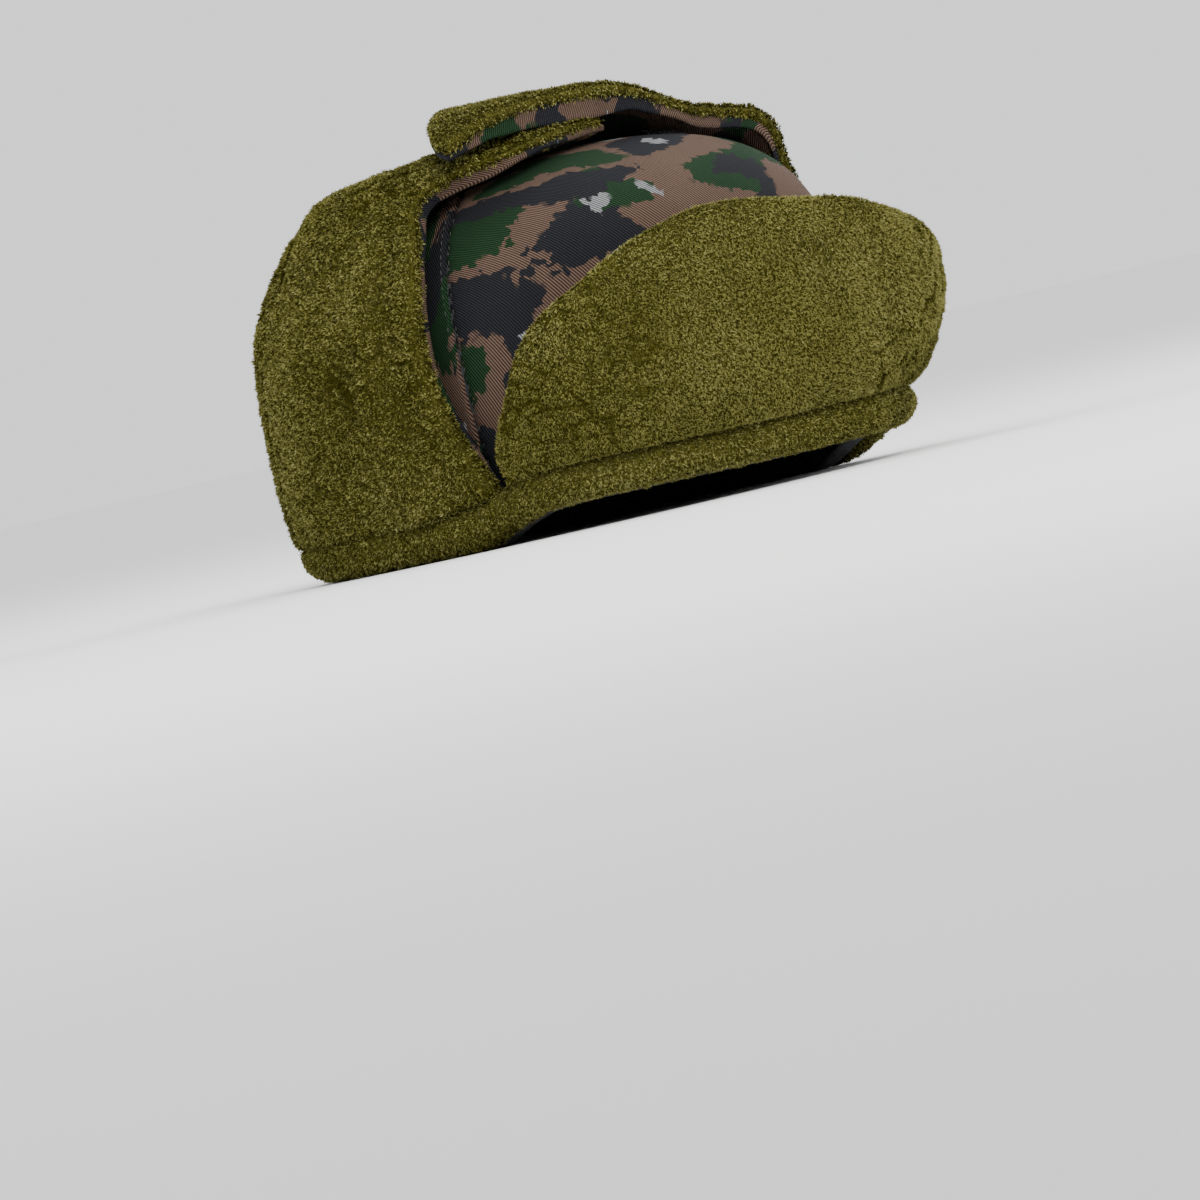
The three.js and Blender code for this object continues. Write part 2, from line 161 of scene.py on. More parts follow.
dome = {
    "halfWidth": 88.0, "frontLength": 109.0, "backLength": 104.0, "widestHeight": 50.0,
    "rise": 85.5, "depth": 86.0, "planPower": 2.3, "profilePower": 3.0,
    "lean": 0.09, "leanEase": 12.0,
}
layers = {
    "gap": 0.4, "layGap": 1.5, "backing": 1.2, "pile": 11.0, "topPile": 7.4,
    "sideOffset": 16.5, "bandHeight": 15.0,
}
lay = layers["layGap"] + layers["backing"] + layers["gap"] + layers["topPile"]   # one flap on the crown
rimRaise = [(0, 9), (40, 9.5), (56, 9), (63, 6), (70, 1.2), (74, 0), (180, 0)]   # angle, height


def smooth(x, low, high):
    t = np.clip((x - low) / (high - low), 0, 1)
    return t * t * (3 - 2 * t)


def along(table, place):
    # smooth value of a two-column table
    table = np.array(table, float)
    keys, values = table[:, 0], table[:, 1]
    place = np.clip(np.asarray(place, float), keys[0], keys[-1])
    slopes = np.empty(len(keys))
    slopes[1:-1] = (values[2:] - values[:-2]) / (keys[2:] - keys[:-2])
    slopes[0] = (values[1] - values[0]) / (keys[1] - keys[0])
    slopes[-1] = (values[-1] - values[-2]) / (keys[-1] - keys[-2])
    i = np.clip(np.searchsorted(keys, place, side="right") - 1, 0, len(keys) - 2)
    span = keys[i + 1] - keys[i]
    t = (place - keys[i]) / span
    h = t * t * (3 - 2 * t)
    bend = slopes[i] * t * (1 - t) ** 2 - slopes[i + 1] * t * t * (1 - t)
    return values[i] + (values[i + 1] - values[i]) * h + span * bend


def raiseAt(angle):
    around = np.abs(np.asarray(angle, float))
    around = np.minimum(around, 360 - around)
    return np.maximum(along(rimRaise, around), 0)


def leanShift(height):
    above = np.maximum(height - dome["widestHeight"], 0)
    return -dome["lean"] * above * above / (above + dome["leanEase"])


def domePoint(d, offset):
    n, p = dome["planPower"], dome["profilePower"]
    x, y, z = d[..., 0], d[..., 1], d[..., 2]
    flat = (np.abs(x) ** n + np.abs(y) ** n) ** (1 / n)
    reach = (flat ** p + np.abs(z) ** p) ** (-1 / p)
    height = dome["widestHeight"] + np.where(z > 0, dome["rise"] + offset, dome["depth"]) * z * reach
    length = np.where(y > 0, dome["backLength"], dome["frontLength"]) + offset
    place = [(dome["halfWidth"] + offset) * x * reach, length * y * reach + leanShift(height), height]
    return np.stack(place, axis=-1)


def wallDirection(angle, height, offset=0.0):
    n, p = dome["planPower"], dome["profilePower"]
    up = np.asarray(height, float) - dome["widestHeight"]
    level = up / np.where(up > 0, dome["rise"] + offset, dome["depth"])
    flat = (1 - np.abs(level) ** p) ** (1 / p)
    s, c = np.sin(np.radians(angle)), np.cos(np.radians(angle))
    k = flat * (np.abs(s) ** n + np.abs(c) ** n) ** (-1 / n)
    return np.stack(np.broadcast_arrays(k * s, -k * c, level), axis=-1)


def planDirection(x, y):
    height = dome["widestHeight"] + dome["rise"]
    for _ in range(12):
        back = y - leanShift(height)
        length = dome["backLength"] if back > 0 else dome["frontLength"]
        u, v = x / dome["halfWidth"], back / length
        flat = (abs(u) ** dome["planPower"] + abs(v) ** dome["planPower"]) ** (1 / dome["planPower"])
        level = (1 - flat ** dome["profilePower"]) ** (1 / dome["profilePower"])
        height = dome["widestHeight"] + dome["rise"] * level
    return np.array([u, v, level])


def unit(v):
    return v / np.maximum(np.linalg.norm(v, axis=-1, keepdims=True), 1e-9)


def walkedAlong(points):
    # length from the first point of a line to each
    return np.concatenate([[0], np.cumsum(np.linalg.norm(np.diff(points, axis=0), axis=1))])


def curveThrough(knots, places):
    # points on a smooth curve through knots, at shares of its length
    knots = np.array(knots, float)
    ends = np.vstack([2 * knots[0] - knots[1], knots, 2 * knots[-1] - knots[-2]])
    last = len(knots) - 1

    def at(t):
        q = np.clip(t, 0, 1) * last
        i = np.minimum(q.astype(int), last - 1)
        w = (q - i)[:, None]
        p0, p1, p2, p3 = (ends[i + k] for k in range(4))
        spans = ((p0, p1), (p1, p2), (p2, p3))
        g0, g1, g2 = (np.linalg.norm(b - a, axis=1)[:, None] ** 0.5 for a, b in spans)
        m1 = ((p1 - p0) / g0 - (p2 - p0) / (g0 + g1) + (p2 - p1) / g1) * g1
        m2 = ((p2 - p1) / g1 - (p3 - p1) / (g1 + g2) + (p3 - p2) / g2) * g1
        h = w * w * (3 - 2 * w)
        return p1 + (p2 - p1) * h + m1 * w * (1 - w) ** 2 - m2 * w * w * (1 - w)

    steps = np.linspace(0, 1, 201)
    walked = walkedAlong(at(steps))
    return at(np.interp(np.asarray(places) * walked[-1], walked, steps))


def crowd(count, strength):
    # shares from 0 to 1 that stand closer together at both ends
    t = np.linspace(0, 1, count)
    return t - strength * np.sin(2 * np.pi * t) / (2 * np.pi)


# noise for dents, tufts and puckers

def softNoise(points, size, seed):
    # smooth noise from -1 to 1 whose lumps are about size across
    cells = 24
    values = np.random.default_rng(seed).random((cells, cells, cells))
    q = points / size + 100
    base = np.floor(q).astype(int)
    f = q - base
    f = f * f * (3 - 2 * f)
    total = np.zeros(points.shape[:-1])
    for corner in np.ndindex(2, 2, 2):
        at = (base + np.array(corner)) % cells
        weight = np.prod(np.where(corner, f, 1 - f), axis=-1)
        total += weight * values[at[..., 0], at[..., 1], at[..., 2]]
    return 2 * total - 1


def mixedNoise(points, parts, seed):
    # soft noise of several sizes, each with its share
    return sum(share * softNoise(points, size, seed + k) for k, (size, share) in enumerate(parts))


def tufts(points, size, seed):
    # way to the nearest tuft's middle, distances to the nearest two, and the tuft's own tone
    cells = 32
    rng = np.random.default_rng(seed)
    jitter = rng.random((cells, cells, cells, 3))
    tone = rng.random((cells, cells, cells))
    q = points / size + 200
    base = np.floor(q).astype(int)
    best = np.full(len(points), 9.0)
    second = np.full(len(points), 9.0)
    way = np.zeros((len(points), 3))
    own = np.zeros(len(points))
    for corner in np.ndindex(3, 3, 3):
        cell = base + np.array(corner) - 1
        at = cell % cells
        to = cell + jitter[at[:, 0], at[:, 1], at[:, 2]] - q
        far = np.linalg.norm(to, axis=1)
        nearer = far < best
        second = np.where(nearer, best, np.minimum(second, far))
        best = np.where(nearer, far, best)
        way[nearer] = to[nearer]
        own[nearer] = tone[at[nearer, 0], at[nearer, 1], at[nearer, 2]]
    return way * size, best * size, second * size, own


# meshes

def gridQuads(rows, columns, wrap=False, start=0):
    across = columns if wrap else columns - 1
    j, i = np.meshgrid(np.arange(rows - 1), np.arange(across), indexing="ij")
    j, i = j.ravel(), i.ravel()
    k = (i + 1) % columns
    row, nextRow = j * columns, (j + 1) * columns
    return start + np.stack([row + i, row + k, nextRow + k, nextRow + i], 1)


def closedSheet(outer, inner):
    # one body from two faces of the same grid
    rows, columns = outer.shape[:2]
    size = rows * columns
    points = np.concatenate([outer.reshape(-1, 3), inner.reshape(-1, 3)])
    top = gridQuads(rows, columns)
    bottom = top[:, ::-1] + size
    index = np.arange(size).reshape(rows, columns)
    rim = np.concatenate([index[0, :], index[1:, -1], index[-1, -2::-1], index[-2:0:-1, 0]])
    nextRim = np.roll(rim, -1)
    walls = np.stack([rim, rim + size, nextRim + size, nextRim], 1)
    return points, np.concatenate([top, bottom, walls])


def quadCross(points, quads):
    # twice each quad's area, along its normal
    a, b, c, d = (points[quads[:, k]] for k in range(4))
    return np.cross(c - a, d - b)


def vertexNormals(points, quads):
    face = quadCross(points, quads)
    normals = np.zeros_like(points)
    for k in range(4):
        np.add.at(normals, quads[:, k], face)
    return unit(normals)


def turnOutward(points, quads):
    # flips a body whose faces look inwards
    volume = (quadCross(points, quads) * points[quads].sum(axis=1)).sum()
    return quads if volume > 0 else quads[:, ::-1]


def makePiece(name, points, faces, materials, indexes=None, uvs=None):
    mesh = bpy.data.meshes.new(name)
    count, corners = faces.shape
    mesh.vertices.add(len(points))
    mesh.vertices.foreach_set("co", ((points + hatShift) * mm).astype(np.float32).ravel())
    mesh.loops.add(count * corners)
    mesh.loops.foreach_set("vertex_index", faces.astype(np.int32).ravel())
    mesh.polygons.add(count)
    mesh.polygons.foreach_set("loop_start", np.arange(count, dtype=np.int32) * corners)
    mesh.polygons.foreach_set("loop_total", np.full(count, corners, np.int32))
    if indexes is not None:
        mesh.polygons.foreach_set("material_index", indexes.astype(np.int32))
    mesh.polygons.foreach_set("use_smooth", np.full(count, True))
    mesh.update(calc_edges=True)
    if uvs is not None:
        layer = mesh.uv_layers.new(name="clothLength")
        layer.data.foreach_set("uv", uvs[faces.ravel()].astype(np.float32).ravel())
    mesh.validate()
    for material in materials:
        mesh.materials.append(material)
    piece = addObject(name, mesh)
    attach(piece, "root")
    return piece


# materials

def mathNode(tree, operation, *values):
    return node(tree, "ShaderNodeMath", dict(enumerate(values)), operation=operation).outputs[0]


def scaled(tree, value, tone):
    # a value times the first number of tone plus the second
    return mathNode(tree, "MULTIPLY_ADD", value, *tone)


def above(tree, value, level, edge):
    # 1 where a value is over a level, with a narrow edge
    ends = {"Value": value, "From Min": level - edge, "From Max": level + edge}
    return node(tree, "ShaderNodeMapRange", ends).outputs[0]


def mixColor(tree, share, a, b):
    return node(tree, "ShaderNodeMix", {0: share, 6: a, 7: b}, data_type="RGBA").outputs[2]


def noise(tree, vector, scale, detail=2.0, roughness=0.5, output="Fac"):
    sockets = {"Vector": vector, "Scale": scale, "Detail": detail, "Roughness": roughness}
    return node(tree, "ShaderNodeTexNoise", sockets).outputs[output]


def moved(tree, vector, offset, scale=(1, 1, 1), turn=0.0):
    sockets = {"Vector": vector, "Location": offset, "Rotation": (0, 0, math.radians(turn)), "Scale": scale}
    return node(tree, "ShaderNodeMapping", sockets).outputs[0]


def clothPlace(tree):
    # metres along the cloth
    return node(tree, "ShaderNodeUVMap", {}, uv_map="clothLength").outputs[0]


def objectPlace(tree):
    return node(tree, "ShaderNodeTexCoord", {}).outputs["Object"]


camouflage = {
    "ground": (0.102, 0.064, 0.046), "green": (0.008, 0.030, 0.010),
    "dark": (0.0125, 0.0130, 0.0165), "pale": (0.20, 0.205, 0.21),
    "greenSize": 23.0, "greenShare": 0.548,      # lumps per metre, level above which it shows
    "darkSize": 27.0, "darkShare": 0.538,
    "paleSize": 34.0, "paleShare": 0.655,
    "raggedSize": 210.0, "ragged": 0.0060, "edge": 0.003, "flake": 3.1, "flaked": 0.8,
    "layers": (                                  # tone, offset and stretch of its blots
        ("green", (3.1, 1.7, 0), (1, 1.25, 1)),
        ("dark", (7.4, 4.2, 0), (0.8, 1.3, 1)),
        ("pale", (11.3, 9.6, 0), (1.2, 0.8, 1)),
    ),
}
twill = {
    # valley and crest scale the colour in the ribs' valleys and on their crests: painted shade and painted
    # highlight
    "ribDepth": 0.00034, "valley": 0.08, "crest": 1.42, "flatness": 0.85,
    "wobble": {"Distortion": 0.3, "Detail": 1.0, "Detail Scale": 0.15},
    "threadSize": 900.0, "threadStretch": (1, 6, 1), "threadTone": (0.5, 0.75), "threadRelief": 0.35,
    "wearSize": 60.0, "wearTone": (0.3, 0.86),   # the tones: share of the noise, what it is added to
    "roughness": (0.15, 0.80), "specular": 0.15, "bump": 0.8,
}
plain = {
    "wearSize": 45.0, "wearTone": (0.6, 0.7), "ribPaintedLight": (0.45, 0.72), "roughness": (0.2, 0.65),
}


def ribs(tree, vector, turn, pitch):
    sockets = {"Vector": moved(tree, vector, (0, 0, 0), turn=turn),
               "Scale": 2 * math.pi / 20 / (pitch * mm), **twill["wobble"]}
    return node(tree, "ShaderNodeTexWave", sockets, wave_type="BANDS", bands_direction="X").outputs["Fac"]


def raggedPlace(tree, printed):
    # moves the print about, so that its edges follow small uneven flakes
    look = camouflage
    rag = noise(tree, printed, look["raggedSize"], 1.5, output="Color")
    shift = node(tree, "ShaderNodeVectorMath", {0: rag, 1: (look["ragged"],) * 3, 2: printed},
                 operation="MULTIPLY_ADD").outputs[0]
    flakes = node(tree, "ShaderNodeTexVoronoi", {"Vector": shift, "Scale": 1 / (look["flake"] * mm)})
    sockets = {0: look["flaked"], 4: shift, 5: flakes.outputs["Position"]}
    return node(tree, "ShaderNodeMix", sockets, data_type="VECTOR").outputs[1]


def finishCloth(tree, shader, color, ribPaintedLightAndWear, relief, strength):
    # the colour is scaled by the ribs' painted light and shade, together with thread tone and wear
    shade = node(tree, "ShaderNodeVectorMath", {0: color, "Scale": ribPaintedLightAndWear}, operation="SCALE")
    sockets = {"Distance": twill["ribDepth"], "Strength": strength, "Height": relief}
    bump = node(tree, "ShaderNodeBump", sockets)
    feed(tree, shader, {"Base Color": shade.outputs[0], "Normal": bump.outputs[0]})


def camouflageTwill(name, place, ribTurn, pitch=1.0):
    material, tree, shader = newMaterial(name)
    look = camouflage
    cloth = clothPlace(tree)
    ragged = raggedPlace(tree, moved(tree, cloth, (*place, 0)))
    color = look["ground"]
    for tone, offset, stretch in look["layers"]:
        blots = noise(tree, moved(tree, ragged, offset, stretch), look[tone + "Size"], 1.0, 0.4)
        shown = above(tree, blots, look[tone + "Share"], look["edge"])
        color = mixColor(tree, shown, color, look[tone])
    # twill ribs, whose crests get a painted highlight and whose valleys painted shade, thread to thread
    # variation and a little wear
    rib = ribs(tree, cloth, ribTurn, pitch)
    threadPlace = moved(tree, cloth, (0, 0, 0), twill["threadStretch"], ribTurn)
    threads = noise(tree, threadPlace, twill["threadSize"], 1.0)
    wear = noise(tree, cloth, twill["wearSize"], 4.0, 0.6)
    crests = mathNode(tree, "POWER", rib, twill["flatness"])
    ribPaintedLightAndWear = mathNode(tree, "MULTIPLY_ADD", crests, twill["crest"] - twill["valley"], twill["valley"])
    ribPaintedLightAndWear = mathNode(tree, "MULTIPLY", ribPaintedLightAndWear, scaled(tree, threads, twill["threadTone"]))
    ribPaintedLightAndWear = mathNode(tree, "MULTIPLY", ribPaintedLightAndWear, scaled(tree, wear, twill["wearTone"]))
    relief = mathNode(tree, "ADD", rib, mathNode(tree, "MULTIPLY", threads, twill["threadRelief"]))
    finishCloth(tree, shader, color, ribPaintedLightAndWear, relief, twill["bump"])
    feed(tree, shader, {"Roughness": scaled(tree, threads, twill["roughness"]),
                        "Specular IOR Level": twill["specular"], "Sheen Weight": 0.0})
    return material


def plainTwill(name, color, ribTurn, pitch=1.0):
    material, tree, shader = newMaterial(name)
    cloth = clothPlace(tree)
    rib = ribs(tree, cloth, ribTurn, pitch)
    wear = noise(tree, cloth, plain["wearSize"], 4.0, 0.6)
    # the ribs' valleys are painted darker and their crests lighter: painted shade and painted highlight
    ribPaintedLightAndWear = scaled(tree, rib, plain["ribPaintedLight"])
    ribPaintedLightAndWear = mathNode(tree, "MULTIPLY", ribPaintedLightAndWear, scaled(tree, wear, plain["wearTone"]))
    finishCloth(tree, shader, color, ribPaintedLightAndWear, rib, 1.0)
    feed(tree, shader, {"Roughness": scaled(tree, wear, plain["roughness"])})
    return material


pile = {
    # fibre colours from dark to light; the level that picks one holds random tone as well as painted light
    # and shade
    "shades": [(0.031, 0.0285, 0.001), (0.093, 0.088, 0.017), (0.162, 0.154, 0.042),
               (0.222, 0.212, 0.072), (0.288, 0.277, 0.120)],
    "fibre": {"Roughness": 0.85, "Specular IOR Level": 0.05, "Sheen Weight": 0.06,
              "Sheen Roughness": 0.5, "Sheen Tint": (0.8, 0.75, 0.3)},
    # the skin is mostly darker than the fibres: painted shade deep in the pile, mixed by grain
    "skinDark": (0.034, 0.031, 0.003), "skinLight": (0.125, 0.117, 0.023),
    "skinGrain": (1400.0, 3.0, 0.7), "skinBroad": (70.0, 3.0), "skinRoughness": (0.1, 0.88),
    "skinRelief": 0.0012,
    "length": 1.75, "width": 0.50, "standing": 1.5,           # of a fibre, and the pile's own height
    "tuftSize": 2.6, "clumpSize": 7.0, "parting": 11.0,
    "squash": 0.6,                                            # tufts are wider than they are high
    "combWander": 0.9, "combSize": 16, "patchSize": 34, "patchEdge": 0.5, "endCracks": 0.55,
    # crackPaintedShade darkens the fibres in cracks: painted shade in the recess
    "crackWidth": 0.65, "crackDepth": 0.2, "crackPaintedShade": 0.50,
    "laid": 0.6, "laidTilt": 1.15, "clumpRise": 0.9, "rootDepth": 0.5, "lowest": 0.15,
    "stray": 0.40, "intoCrack": 0.5,                          # how fibres stray from their tuft's lean
    "bend": 0.40, "bendStray": 0.35, "gather": 0.35, "tipGather": 0.25,
    "lengths": (0.70, 0.35), "moundLength": 0.20, "toneLength": 0.10, "crackShort": 0.30,
    "widths": (0.75, 0.5), "laidWidth": 1.15, "standingWidth": 0.85, "sideStray": 0.6,
    # the shine values paint light on the lower ends of tufts and clumps, where they come out from under the
    # one above; the tones differ at random
    "tuftTone": 0.12, "tuftPaintedLight": 0.22, "clumpTone": 0.10, "clumpPaintedLight": 0.26, "cloudTone": 0.07,
    "firstShade": 0.08, "shadeStep": 0.16,
}
pileLook = {                                     # where a flap's own dictionary says nothing else
    "tilt": 0.35, "long": 1.0, "clumping": 1.0, "rise": 0.45, "sway": 0.9,
    # light: the fibres' overall brightness; a piece that sets a higher one is painted lighter, which is
    # painted light
    "grain": 0.40, "contrast": 0.65, "light": 0.18,
}


def pileSkin():
    material, tree, shader = newMaterial("pileSkin")
    place = objectPlace(tree)
    tuft = node(tree, "ShaderNodeTexVoronoi", {"Vector": place, "Scale": 1 / (pile["tuftSize"] * mm)})
    grain = noise(tree, place, *pile["skinGrain"])
    broad = noise(tree, place, *pile["skinBroad"])
    share = mathNode(tree, "MULTIPLY", grain, mathNode(tree, "ADD", broad, 0.6))
    relief = mathNode(tree, "ADD", tuft.outputs["Distance"], mathNode(tree, "MULTIPLY", grain, 0.5))
    bump = node(tree, "ShaderNodeBump", {"Distance": pile["skinRelief"], "Height": relief}, invert=True)
    # the skin's darker colours stand in for the shade down between the fibres
    feed(tree, shader, {"Specular IOR Level": 0.05, "Normal": bump.outputs[0],
                        "Base Color": mixColor(tree, share, pile["skinDark"], pile["skinLight"]),
                        "Roughness": scaled(tree, grain, pile["skinRoughness"])})
    return material


def pileShades():
    made = []
    for number, color in enumerate(pile["shades"]):
        material, tree, shader = newMaterial(f"pileShade{number}")
        feed(tree, shader, {"Base Color": color, **pile["fibre"]})
        made.append(material)
    return made


skinMaterial = pileSkin()
shadeMaterials = pileShades()
frontTwill = camouflageTwill("crownTwillCentre", (0.0, 0.0), -26.0)
sideTwill = camouflageTwill("crownTwillSide", (0.31, 0.12), 20.0)
backingTwill = camouflageTwill("flapTwill", (0.57, 0.83), -58.0, 0.8)
liningTwill = plainTwill("liningTwill", (0.040, 0.042, 0.047), 45.0)
print("materials ready")


# the pile's fibres

def crackPatch(points, look):
    # where the pile is worn into cracks, from 0 to 1
    start = look["cracksFrom"]
    patch = smooth(softNoise(points, pile["patchSize"], look["seed"] + 3), start, start + pile["patchEdge"])
    if "crackedFrom" in look:                    # an end that is cracked all over
        low, full = look["crackedFrom"]
        patch = np.maximum(patch, pile["endCracks"] * smooth(-points[..., 0], low, full))
    return patch


def scatter(points, quads, furry, count, rng):
    # places spread evenly over the skin where it is furry, and the way out from each
    normals = vertexNormals(points, quads)
    area = np.linalg.norm(quadCross(points, quads), axis=1) / 2
    total = np.cumsum(area * furry[quads].mean(axis=1))
    picks = (np.arange(count) + rng.random(count)) / count * total[-1]
    q = quads[np.minimum(np.searchsorted(total, picks), len(quads) - 1)]
    s, t = rng.random((2, count, 1))
    shares = [(1 - s) * (1 - t), s * (1 - t), s * t, (1 - s) * t]
    root = sum(share * points[q[:, k]] for k, share in enumerate(shares))
    out = unit(sum(share * normals[q[:, k]] for k, share in enumerate(shares)))
    return root, out


def growFleece(name, points, quads, furry, look):
    # short bent fibres in tufts over a pad's skin, as one mesh
    look = {**pileLook, **look}
    rng = np.random.default_rng(look["seed"])
    count = look["fibres"]
    root, out = scatter(points, quads, furry, count, rng)

    def inSurface(v):
        return v - (v * out).sum(axis=1, keepdims=True) * out

    # tufts, clumps of tufts, and the cells that cracks run between
    down = unit(np.array(look["comb"]))
    squashed = root + pile["squash"] * (root @ down)[:, None] * down
    way, near, second, tone = tufts(squashed, pile["tuftSize"], look["seed"] + 1)
    clumpWay, clumpNear, clumpSecond, clumpTone = tufts(squashed, pile["clumpSize"], look["seed"] + 5)
    bigWay, bigNear, bigSecond, _ = tufts(root, pile["parting"], look["seed"] + 2)
    crack = np.exp(-((bigSecond - bigNear) / pile["crackWidth"]) ** 2) * crackPatch(root, look)
    wander = np.stack([softNoise(root, pile["combSize"], look["seed"] + 4 + k) for k in range(3)], 1)
    comb = unit(inSurface(np.array(look["comb"])[None, :] + pile["combWander"] * wander))

    def shingle(toMiddle, nearest, following, size):
        # 1 at a tuft's lower end, 0 at its borders and where it comes out from under the one above
        ahead = 0.5 - (toMiddle * comb).sum(axis=1) / size
        return np.clip(ahead, 0, 1) * smooth(following - nearest, 0, 0.35 * size)

    fine = shingle(way, near, second, pile["tuftSize"])
    broad = shingle(clumpWay, clumpNear, clumpSecond, pile["clumpSize"])
    clumping = look["clumping"]
    rise = look["rise"] * fine + clumping * pile["clumpRise"] * broad - pile["crackDepth"] * crack
    root = root + rise[:, None] * out

    # each tuft leans its own way; most fibres lie down and cover it, the others stand
    turn = look["sway"] * (2 * (tone - 0.5) + clumpTone - 0.5)[:, None]
    lean = np.cos(turn) * comb + np.sin(turn) * np.cross(out, comb)
    lying = rng.random((count, 1)) < pile["laid"]
    jitter = rng.normal(size=(count, 3))
    tilt = np.where(lying, pile["laidTilt"], look["tilt"])
    intoCrack = pile["intoCrack"] * crack[:, None] * unit(inSurface(bigWay))
    lift = unit(out + tilt * lean + pile["stray"] * jitter + intoCrack)
    jitter = rng.normal(size=(count, 3))
    gather = pile["gather"] * inSurface(way) / pile["tuftSize"]
    bend = unit(lift + pile["bend"] * lean + pile["bendStray"] * jitter + gather)

    # lengths and widths, longest in the middle of a tuft
    mound = np.clip(1 - near / (0.75 * pile["tuftSize"]), 0, 1)
    shortest, spread = pile["lengths"]
    length = shortest + spread * rng.random(count) + pile["moundLength"] * mound + pile["toneLength"] * tone
    length = pile["length"] * look["long"] * (length * (1 - pile["crackShort"] * crack))[:, None]
    middle = root + 0.5 * length * lift
    tip = middle + 0.5 * length * bend + pile["tipGather"] * inSurface(way)
    thinnest, spread = pile["widths"]
    width = np.where(lying, pile["laidWidth"], pile["standingWidth"])
    width = pile["width"] * look["long"] * width * (thinnest + spread * rng.random((count, 1)))
    side = unit(np.cross(lift, out + pile["sideStray"] * rng.normal(size=(count, 3)))) * width / 2
    root = root - pile["rootDepth"] * lift
    corners = np.stack([root, middle - side, middle + side, tip], 1)
    corners[..., 2] = np.maximum(corners[..., 2], pile["lowest"])      # what rests is pressed flat
    start = np.arange(count)[:, None] * 4                    # four corners a fibre
    faces = np.concatenate([start + [0, 2, 1], start + [1, 2, 3]], 1).reshape(-1, 3)

    # shades: the lower ends of tufts and clumps get painted light, cracks get painted shade, and each
    # fibre's root half gets painted shade
    mottleAndPaintedLight = pile["tuftTone"] * tone + pile["tuftPaintedLight"] * fine
    mottleAndPaintedLight += clumping * (pile["clumpPaintedLight"] * broad + pile["clumpTone"] * clumpTone)
    level = look["grain"] * (rng.random(count) - 0.5) + look["light"] - pile["crackPaintedShade"] * crack
    level += mottleAndPaintedLight.mean() + look["contrast"] * (mottleAndPaintedLight - mottleAndPaintedLight.mean())
    level += pile["cloudTone"] * softNoise(root, 24, look["seed"] + 9)
    step = (level - pile["firstShade"]) / pile["shadeStep"]
    shade = np.clip(step, 0, len(pile["shades"]) - 1).astype(int)
    # the root half of each fibre is two shades darker than its tip: painted shade deep in the pile
    indexes = np.stack([np.maximum(shade - 2, 0), shade], 1).ravel()
    makePiece(name, corners.reshape(-1, 3), faces, shadeMaterials, indexes)
    print(f"{name}: {count} fibres")


pad = {
    "dents": [(42, 1), (19, 0.55)], "lumps": (8.5, 0.38),     # size in mm, share
    "bottomRound": 7.0, "halfEdge": 0.35, "under": 0.9,       # mm: edge radius below, half its thickness
    "crackWidth": 1.8, "crackDepth": 0.9, "thinnest": 0.6, "furFades": (2.0, 5.5),
}


def lumps(points, look):
    # broad dents and soft lumps of a stuffed pile pad
    parts = [(size, share * look["dents"]) for size, share in pad["dents"]]
    return mixedNoise(points, parts + [pad["lumps"]], look["seed"] + 20)


def roundOff(edges, radius):
    # share of the full height near an edge that is rounded like a quarter circle
    return np.sqrt(1 - (1 - np.clip(edges / radius, 0, 1)) ** 2)


def makePad(name, node, direction, outer, thickness, edges, look, place=domePoint):
    # a pile pad from a grid of directions, its skin under the fibres' tips
    share = roundOff(edges, look["round"])
    middle, half = outer - thickness / 2, thickness / 2
    rough = place(direction, outer)
    dents = lumps(rough, look) * (0.35 + 0.65 * share)
    _, first, second, _ = tufts(rough.reshape(-1, 3), pile["parting"], look["seed"] + 2)
    crack = np.exp(-((second - first) / pad["crackWidth"]) ** 2).reshape(edges.shape)
    crack = crack * crackPatch(rough, look)
    upper = middle + pad["halfEdge"] + (half - pile["standing"] - pad["halfEdge"]) * share
    upper = upper + dents - pad["crackDepth"] * crack * share
    lower = middle - pad["halfEdge"] - (half - pad["under"]) * roundOff(edges, pad["bottomRound"])
    upper = np.maximum(upper, lower + pad["thinnest"])
    points, quads = closedSheet(place(direction, upper), place(direction, lower))
    quads = turnOutward(points, quads)
    nearEdge = 1 - smooth(edges, *pad["furFades"])
    furry = np.concatenate([np.ones(edges.size), nearEdge.ravel()])
    piece = makePiece(name, points, quads, [skinMaterial])
    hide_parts(node)
    growFleece(name.replace("Pile", "Fleece"), points, quads, furry, look)


# front flap

frontFlap = {
    "edge": [(-64, 29), (-61, 42), (-57.5, 54), (-54, 68), (-50, 77), (-43, 86), (-34, 96), (-20, 103),
             (0, 98.5), (12, 95), (22, 89), (34, 82), (44, 75), (52, 64), (58, 50), (61, 42), (64, 29)],
    "puffStart": 22.0, "puffFull": 62.0, "puff": 18.0, "puffPower": 0.9,
    "fadeFrom": 46.0, "fadeTo": 66.0, "fade": 0.55,
    "columns": 168, "rows": 44, "inset": 1.5, "insetAngle": 0.9,
    "creases": [(-64, 1.0), (-50, 0.95), (-38, 0.55), (-25, 0.2), (-5, 0.25), (8, 0.7), (20, 1.0),
                (48, 1.0), (64, 0.8)],
    "round": 10.0, "dents": 1.1, "fill": 0.7, "cracksFrom": 0.0,
    "crackedFrom": (46.0, 84.0),                 # mm to the wearer's right: cracks start, cracks are full
    "fibres": 85000, "seed": 11, "comb": (0.25, 0.0, -0.75), "clumping": 0.25, "rise": 0.2, "sway": 0.35,
    # its light is well above the default: painted light on the front flap
    "grain": 0.17, "contrast": 0.25, "light": 0.355,
}


